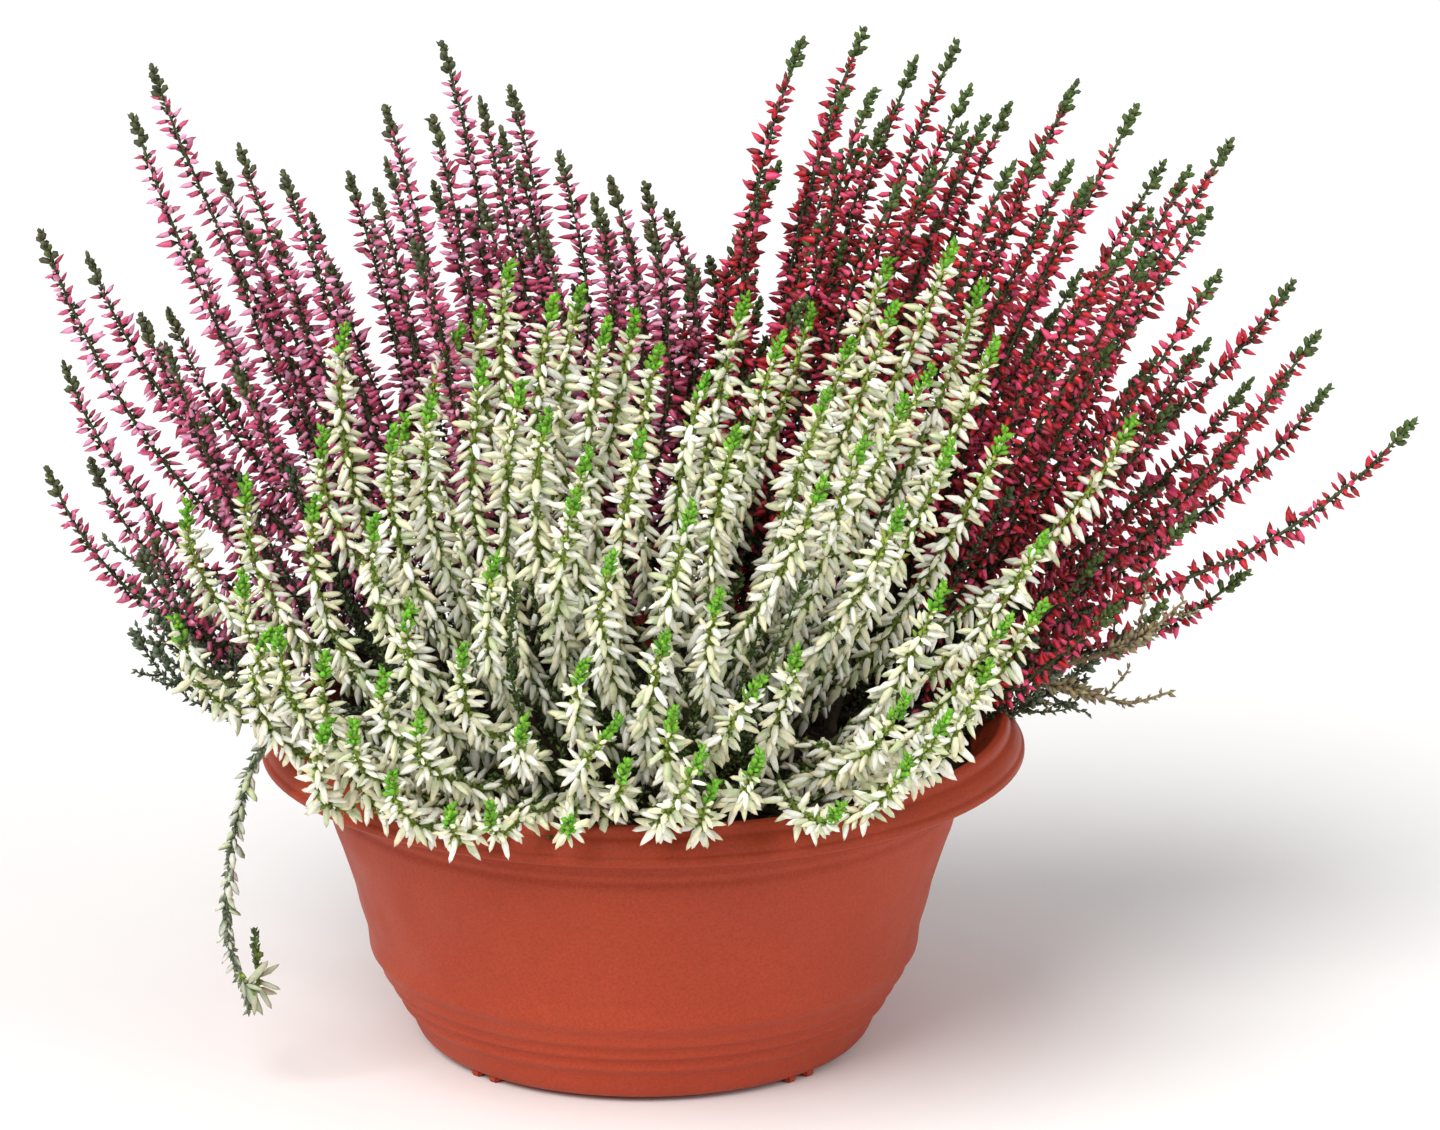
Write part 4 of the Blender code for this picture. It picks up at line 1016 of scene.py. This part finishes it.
def add_low_white_stem(heap):
    """Add the leafy stem low on the left, which bears a few drooping buds and a crowned tip."""
    rail = Rail(through(LOW_WHITE_ROUTE))
    crowned = rail.total - LOW_WHITE_CROWN
    add_tube(heap, rail.line, STEM_RADII, (DARK_BROWN, MID_GREEN), sides=4)
    add_leaves(heap, rail, 0, rail.total, *LOW_WHITE_LEAVES)
    add_buds(heap, rail, LOW_WHITE_LOOK, LOW_WHITE_BUDS_FROM, crowned)
    add_buds(heap, rail, LOOKS["white"], crowned, rail.total - LOW_WHITE_BARE)
    add_tip(heap, rail, LOW_WHITE_LOOK)


def dress_plants(sprays, finer, materials):
    """Make a fine piece for each spray, and pieces of the finer shoots between and behind them."""
    for spray in sprays:
        name = spray["plant"]
        heap = Heap()
        for number, line in enumerate(spray["lines"]):
            root = None if number else spray["root"]
            dress_shoot(heap, line, LOOKS[name], PLANTS[name]["bare"], root)
        piece = heap.build(spray["name"] + "_fine", materials)
        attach(piece, "root")
        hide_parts(spray["name"])
    for name, plant in PLANTS.items():
        for place in ("between", "behind"):
            shoots = [shoot for shoot in finer if shoot["plant"] == name and shoot["place"] == place]
            if not shoots:
                continue
            heap = Heap()
            for shoot in shoots:
                dress_shoot(heap, shoot["lines"][0], LOOKS[name], plant["bare"], shoot["root"])
            if place == "between":
                add_inner_shoots(heap, name)
            if name == "white":
                add_low_white_stem(heap)
            piece = heap.build("%s_shoots_%s" % (name, place), materials)
            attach(piece, "root")


def in_metres(profile):
    """Return a profile that is given in mm in metres."""
    return [(radius * MM, height * MM) for radius, height in profile]


def rounded(profile):
    """Return the profile with each of its corners cut off by a short facet, for smooth shading."""
    line = np.array(profile)
    points = [line[0]]
    for before, corner, after in zip(line, line[1:], line[2:]):
        for other in (before, after):
            reach = min(CORNER, CORNER_SHARE * np.linalg.norm(other - corner))
            points.append(corner + unit(other - corner) * reach)
    points.append(line[-1])
    return points


def turned(profile):
    """Return the mesh of the bowl's profile turned round +Z. Its ends lie on the axis."""
    shape = bmesh.new()
    line = [shape.verts.new((radius, 0, height)) for radius, height in profile]
    edges = [shape.edges.new(pair) for pair in zip(line, line[1:])]
    bmesh.ops.spin(
        shape,
        geom=line + edges,
        axis=(0, 0, 1),
        cent=(0, 0, 0),
        angle=2 * math.pi,
        steps=BOWL_SIDES,
        use_merge=True,
    )
    bmesh.ops.remove_doubles(shape, verts=shape.verts, dist=MERGED)
    bmesh.ops.recalc_face_normals(shape, faces=shape.faces)
    mesh = bpy.data.meshes.new("bowl")
    shape.to_mesh(mesh)
    shape.free()
    smooth(mesh)
    return mesh


def smooth(mesh):
    """Shade the mesh smooth but for its sharp edges."""
    mesh.shade_smooth()
    mesh.set_sharp_from_angle(angle=SHARP_ANGLE)


def add_piece(name, mesh, material):
    """Link a piece of one material and return it."""
    mesh.materials.append(material)
    return linked(name, mesh)


def add_feet(mesh):
    """Add the bowl's small bevelled feet to its mesh."""
    shape = bmesh.new()
    half = FOOT_WIDTH / 2
    top = (FOOT_HEIGHT, FOOT_INNER + FOOT_TAPERS[0], FOOT_OUTER - FOOT_TAPERS[1])
    quads = ((3, 2, 1, 0), (4, 5, 6, 7), (0, 1, 5, 4), (1, 2, 6, 5), (2, 3, 7, 6), (3, 0, 4, 7))
    for pair in range(FOOT_PAIRS):
        turn = Matrix.Rotation(FOOT_TURN + pair * 2 * math.pi / FOOT_PAIRS, 3, "Z")
        for side in (-1, 1):
            offset = side * (FOOT_NOTCH + FOOT_WIDTH) / 2
            corners = [
                shape.verts.new(turn @ Vector((x, y + offset, height)))
                for height, inner, outer in ((0, FOOT_INNER, FOOT_OUTER), top)
                for x, y in ((inner, -half), (outer, -half), (outer, half), (inner, half))
            ]
            for quad in quads:
                shape.faces.new([corners[index] for index in quad])
    bmesh.ops.bevel(shape, geom=shape.edges[:], offset=FOOT_BEVEL, segments=2, affect="EDGES")
    shape.from_mesh(mesh)
    shape.to_mesh(mesh)
    shape.free()


def make_bowl(material):
    """Make the moulded bowl."""
    profile = BOWL_UNDERSIDE + BOWL_RIBS + BOWL_WALL + BOWL_BEADS + BOWL_FOLD + BOWL_EDGE + BOWL_INSIDE
    mesh = turned(rounded(in_metres(profile)))
    add_feet(mesh)
    smooth(mesh)
    bowl = add_piece("bowl", mesh, material)
    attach(bowl, "root")
    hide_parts("pot")


def crumbly(x, y):
    """Return the height of the crumbly soil at a place."""
    place = Vector((x, y, 0)) / MM
    return soil_height(x, y) + sum(noise.noise(place * scale) * high for scale, high in SOIL_CRUMBLE) * MM


def make_soil(material):
    """Make the soil: a body under a crumbly surface, and loose crumbs and fibres on it."""
    heap = Heap()
    radii = np.linspace(0, SOIL_EDGE, SOIL_RINGS + 1)[1:]
    angles = np.arange(SOIL_SIDES) * 2 * math.pi / SOIL_SIDES
    points = [(r * math.cos(a), r * math.sin(a)) for r in radii for a in angles]
    points = [(x, y, crumbly(x, y)) for x, y in points]
    wall = [(radius - SOIL_GAP, height) for radius, height in in_metres(BOWL_INSIDE[:4])]
    wall.append((SOIL_FLOOR_RADIUS, SOIL_FLOOR))
    points += [(r * math.cos(a), r * math.sin(a), height) for r, height in wall for a in angles]
    rings = SOIL_RINGS + len(wall)
    top, bottom = len(points), len(points) + 1
    points += [(0, 0, crumbly(0, 0)), (0, 0, SOIL_FLOOR)]
    faces = [(top, side, (side + 1) % SOIL_SIDES) for side in range(SOIL_SIDES)]
    for ring in range(rings - 1):
        for side in range(SOIL_SIDES):
            a, b = ring * SOIL_SIDES + side, ring * SOIL_SIDES + (side + 1) % SOIL_SIDES
            faces += [(a, b + SOIL_SIDES, b), (a, a + SOIL_SIDES, b + SOIL_SIDES)]
    last = (rings - 1) * SOIL_SIDES
    faces += [(bottom, last + (side + 1) % SOIL_SIDES, last + side) for side in range(SOIL_SIDES)]
    heap.add(np.array(points), np.array(faces), varied(SOIL_COLOUR, len(points), SOIL_SHADES), 0)
    add_crumbs(heap)
    soil = heap.build("soil_crumbly", [material])
    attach(soil, "root")
    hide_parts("soil")


def add_crumbs(heap):
    """Strew loose crumbs and fibres over the soil."""
    radius = CRUMB_AREA * np.sqrt(CHANCE.uniform(0, 1, CRUMBS))
    angle = CHANCE.uniform(0, 2 * math.pi, CRUMBS)
    smallest, largest = CRUMB_SIZES
    size = smallest + (largest - smallest) * CHANCE.uniform(0, 1, CRUMBS) ** CRUMB_RARITY
    places = np.array([(x, y, crumbly(x, y)) for x, y in zip(radius * np.cos(angle), radius * np.sin(angle))])
    directions = units(CHANCE.normal(0, 1, (CRUMBS, 3)))
    colours = varied(CRUMB_COLOUR, CRUMBS, CRUMB_SHADES)
    origins = places - directions * size[:, None]
    strew(heap, CRUMB_FORM, origins, directions, size * 2, size * CRUMB_WIDTH, colours, 0)
    angles = CHANCE.uniform(0, 2 * math.pi, FIBRES)
    slopes = CHANCE.normal(FIBRE_SLOPE, FIBRE_SLOPES, FIBRES)
    flat = units(np.stack((np.cos(angles), np.sin(angles), slopes), axis=1))
    lengths = CHANCE.uniform(*FIBRE_LENGTHS, FIBRES) * MM
    origins = places[:FIBRES] + UP * FIBRE_HEIGHT - flat * lengths[:, None] / 2
    colours = varied(FIBRE_COLOUR, FIBRES, FIBRE_SHADES)
    strew(heap, LEAF_FORM, origins, flat, lengths, lengths * FIBRE_WIDTH, colours, 0)


def dress_old_shoot(shoot, materials):
    """Make the old hanging shoot, with few pale buds, and a leafy twig that turns up at its end."""
    heap = Heap()
    line = wavy(shoot["lines"][0])
    rail = Rail(line)
    start, end = np.array(OLD_BUDS) * rail.total
    add_tube(heap, line, OLD_RADII, (DARK_BROWN, GREY_GREEN))
    add_foot(heap, shoot["root"], line[:3], OLD_FOOT_RADII, DARK_BROWN)
    add_leaves(heap, rail, 2 * MM, rail.total, *OLD_LEAVES)
    add_buds(heap, rail, OLD_LOOK, start, end)
    add_branchlets(heap, rail, LOOKS["white"], 2, 8 * MM, start)
    twig = Rail(through(OLD_SHOOT_TWIG))
    add_tube(heap, twig.line, OLD_TWIG_RADII, (YELLOW_GREEN, MID_GREEN))
    add_leaves(heap, twig, 1 * MM, twig.total, *OLD_TWIG_LEAVES)
    add_tip(heap, twig, OLD_TWIG_LOOK)
    starts = twig.read(twig.line, np.linspace(*OLD_STAR_AT, len(OLD_SHOOT_STAR)) * twig.total)
    across = np.array(OLD_SHOOT_STAR) * MM - starts
    lengths = np.linalg.norm(across, axis=1)
    colours = varied(GREY_GREEN, len(lengths), 0.2) * 0.6 + varied(CREAM, len(lengths)) * 0.4
    halves = OLD_STAR_WIDTH * lengths
    strew(heap, BUD_FORMS["long"], starts, units(across), lengths, halves, colours, BUD_SLOT)
    piece = heap.build("old_shoot_fine", materials)
    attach(piece, "root")
    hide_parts("old_shoot")


def dress_twigs(twigs, materials):
    """Make the dry twigs, with shrivelled leaves."""
    heap = Heap()
    for number, line in enumerate(twigs["lines"]):
        add_tube(heap, line, DRY_RADII, (BROWN, TAN))
        rail = Rail(line)
        dry, shrivelled, shrivelled_end, branched = np.array(DRY_PLACES) * rail.total
        add_leaves(heap, rail, dry, rail.total, *DRY_LEAVES)
        add_leaves(heap, rail, shrivelled, shrivelled_end, *SHRIVELLED_LEAVES)
        add_branchlets(heap, rail, DRY_LOOK, 3, branched, rail.total)
        if number == 0:
            add_foot(heap, twigs["root"], line[:3], DRY_FOOT_RADII, BROWN)
    piece = heap.build("dry_twigs_fine", materials)
    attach(piece, "root")
    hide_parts("dry_twigs")


class Nodes:
    """Builds the nodes of one material."""

    def __init__(self, name):
        self.material = bpy.data.materials.new(name)
        self.material.use_nodes = True
        self.tree = self.material.node_tree
        self.shader = self.tree.nodes["Principled BSDF"]
        self.place = self.add("ShaderNodeTexCoord").outputs["Object"]

    def add(self, kind, **settings):
        """Add a node with its settings."""
        node = self.tree.nodes.new(kind)
        for key, value in settings.items():
            setattr(node, key, value)
        return node

    def link(self, source, target):
        """Link an output to an input."""
        self.tree.links.new(source, target)

    def noise(self, scale, detail=4.0):
        """Return the value of a noise of the scale, per metre."""
        node = self.add("ShaderNodeTexNoise")
        node.inputs["Scale"].default_value = scale
        node.inputs["Detail"].default_value = detail
        self.link(self.place, node.inputs["Vector"])
        return node.outputs["Fac"]

    def ranged(self, value, low, high, start=0.3, end=0.7):
        """Return the value spread from one range over another."""
        node = self.add("ShaderNodeMapRange")
        for socket, number in zip(("From Min", "From Max", "To Min", "To Max"), (start, end, low, high)):
            node.inputs[socket].default_value = number
        self.link(value, node.inputs["Value"])
        return node.outputs["Result"]

    def mixed(self, blend, factor, first, second):
        """Return two colours mixed. The factor may be a number or an output."""
        node = self.add("ShaderNodeMix", data_type="RGBA", blend_type=blend)
        for socket, value in ((node.inputs[0], factor), (node.inputs[6], first), (node.inputs[7], second)):
            if isinstance(value, bpy.types.NodeSocket):
                self.link(value, socket)
            else:
                socket.default_value = value
        return node.outputs[2]

    def times(self, first, second):
        """Return the product of two values."""
        node = self.add("ShaderNodeMath", operation="MULTIPLY")
        self.link(first, node.inputs[0])
        self.link(second, node.inputs[1])
        return node.outputs[0]

    def grey(self, value):
        """Return a value as a grey colour."""
        node = self.add("ShaderNodeCombineColor")
        for socket in node.inputs[:3]:
            self.link(value, socket)
        return node.outputs[0]

    def bump(self, height, strength, distance):
        """Roughen the surface by a height."""
        node = self.add("ShaderNodeBump")
        node.inputs["Strength"].default_value = strength
        node.inputs["Distance"].default_value = distance
        self.link(height, node.inputs["Height"])
        self.link(node.outputs["Normal"], self.shader.inputs["Normal"])

    def finish(self, colour, roughness, specular):
        """Set the colour and roughness and return the material."""
        self.link(colour, self.shader.inputs["Base Color"])
        self.link(roughness, self.shader.inputs["Roughness"])
        self.shader.inputs["Specular IOR Level"].default_value = specular
        return self.material


def tinted(name, mottle, shades, roughness, bump, specular, soft=0.0):
    """Return a plant material that mottles the mesh's tint."""
    nodes = Nodes(name)
    tint = nodes.add("ShaderNodeAttribute", attribute_type="GEOMETRY", attribute_name="tint").outputs["Color"]
    mottled = nodes.ranged(nodes.noise(mottle, 5.0), *shades)
    colour = nodes.mixed("MULTIPLY", 1.0, tint, nodes.grey(mottled))
    nodes.bump(nodes.noise(mottle * 2.2, 3.0), bump, 0.2 * MM)
    if soft:
        nodes.shader.inputs["Subsurface Weight"].default_value = soft
        nodes.shader.inputs["Subsurface Radius"].default_value = (1.0, 0.7, 0.5)
        nodes.shader.inputs["Subsurface Scale"].default_value = 1.0 * MM
    return nodes.finish(colour, nodes.ranged(nodes.noise(mottle * 0.7), *roughness), specular)


def plastic():
    """Return the bowl's terracotta-coloured plastic, with a fine grain, dirt at its lip and painted shade
    that darkens the whole lip.
    """
    nodes = Nodes("terracotta_plastic")
    patches = nodes.ranged(nodes.noise(14, 4.0), 0.0, 1.0)
    colour = nodes.mixed("MIX", patches, TERRACOTTA, DARK_TERRACOTTA)
    grain = nodes.ranged(nodes.noise(1300, 2.0), 0.86, 1.12)
    colour = nodes.mixed("MULTIPLY", 1.0, colour, nodes.grey(grain))
    flat = nodes.add("ShaderNodeVectorMath", operation="MULTIPLY")
    flat.inputs[1].default_value = (1, 1, 0)
    nodes.link(nodes.place, flat.inputs[0])
    length = nodes.add("ShaderNodeVectorMath", operation="LENGTH")
    nodes.link(flat.outputs[0], length.inputs[0])
    split = nodes.add("ShaderNodeSeparateXYZ")
    nodes.link(nodes.place, split.inputs[0])
    inside = nodes.ranged(length.outputs["Value"], 1.0, 0.0, DIRTY_RADIUS - 1.5 * MM, DIRTY_RADIUS)
    # Painted shade: the whole lip is darkened above its beads; the same mask also places the soil specks.
    high = nodes.ranged(split.outputs["Z"], 0.0, 1.0, LIP_SHADE_AND_DIRT_FROM, LIP_SHADE_AND_DIRT_FROM + 2 * MM)
    specks = nodes.ranged(nodes.noise(620, 5.0), 0.0, 0.8, 0.53, 0.62)
    colour = nodes.mixed("MULTIPLY", high, colour, RIM_PAINTED_SHADE)
    dirt = nodes.times(nodes.times(inside, high), specks)
    colour = nodes.mixed("MIX", dirt, colour, RIM_DIRT)
    nodes.bump(nodes.noise(1100, 3.0), 0.35, 0.15 * MM)
    return nodes.finish(colour, nodes.ranged(nodes.noise(60, 5.0), 0.46, 0.60), 0.18)


def make_camera():
    """Make the camera at the photograph's angle."""
    back = Vector((0, -math.cos(CAMERA_ELEVATION), math.sin(CAMERA_ELEVATION)))
    data = bpy.data.cameras.new("camera")
    data.lens = CAMERA_LENS
    data.sensor_width = CAMERA_SENSOR
    camera = linked("camera", data)
    camera.location = LOOKED_AT + back * CAMERA_DISTANCE
    camera.rotation_mode = "QUATERNION"
    camera.rotation_quaternion = (-back).to_track_quat("-Z", "Y")
    bpy.context.scene.camera = camera


def make_light(name, place, kind, energy, spread, colour):
    """Make a soft light that points at the plant. spread is a sun's angle or an area's side."""
    data = bpy.data.lights.new(name, kind)
    if kind == "SUN":
        data.angle = spread
    else:
        data.size = spread
    data.energy = energy
    data.color = colour
    light = linked(name, data)
    light.location = place
    light.rotation_mode = "QUATERNION"
    light.rotation_quaternion = (LOOKED_AT - Vector(place)).to_track_quat("-Z", "Y")


def make_studio():
    """Make the pale floor, the white surround and the lights."""
    nodes = Nodes("pale_floor")
    colour = nodes.mixed("MIX", nodes.ranged(nodes.noise(3), 0, 1), FLOOR_PALE, FLOOR_GREY)
    material = nodes.finish(colour, nodes.ranged(nodes.noise(20), 0.8, 0.9), 0.2)
    mesh = bpy.data.meshes.new("floor")
    corners = [(x * FLOOR_HALF, y * FLOOR_HALF, 0) for x, y in ((-1, -1), (1, -1), (1, 1), (-1, 1))]
    mesh.from_pydata(corners, [], [(0, 1, 2, 3)])
    add_piece("floor", mesh, material)
    world = bpy.data.worlds.new("surround")
    world.use_nodes = True
    background = world.node_tree.nodes["Background"]
    background.inputs["Color"].default_value = (1, 1, 1, 1)
    background.inputs["Strength"].default_value = SURROUND_STRENGTH
    bpy.context.scene.world = world
    make_light("key", KEY_PLACE, "SUN", energy=2.9, spread=math.radians(44), colour=(1.0, 0.985, 0.96))
    make_light("fill", FILL_PLACE, "AREA", energy=14, spread=1.4, colour=(1.0, 0.98, 0.96))
    bpy.context.scene.view_settings.view_transform = "Standard"


def write_sizes():
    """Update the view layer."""
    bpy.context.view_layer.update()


def main():
    """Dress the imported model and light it."""
    make_camera()
    make_studio()
    sprays, old_growth = plan_sprays(), plan_old_growth()
    place_roots(sprays, [old["root"][:2] for old in old_growth])
    for spray in sprays:
        draw_lines(spray)
    bend_clear(sprays + old_growth, CLEARING_ROUNDS)
    for spray in sprays:
        spray["held"] = True
    finer = plan_finer_shoots()
    bend_clear(sprays + old_growth + finer, FINE_CLEARING_ROUNDS)
    materials = [
        tinted("heather_stem", 900, (0.6, 1.3), (0.6, 0.85), bump=0.6, specular=0.3),
        tinted("heather_bud", 700, (0.86, 1.08), (0.38, 0.58), bump=0.2, specular=0.4, soft=0.08),
        tinted("heather_leaf", 800, (0.7, 1.25), (0.45, 0.7), bump=0.35, specular=0.4),
    ]
    make_bowl(plastic())
    make_soil(tinted("potting_soil", 1200, (0.4, 1.6), (0.85, 1.0), bump=1.0, specular=0.15))
    dress_plants(sprays, finer, materials)
    dress_old_shoot(old_growth[0], materials)
    dress_twigs(old_growth[1], materials)
    write_sizes()


main()
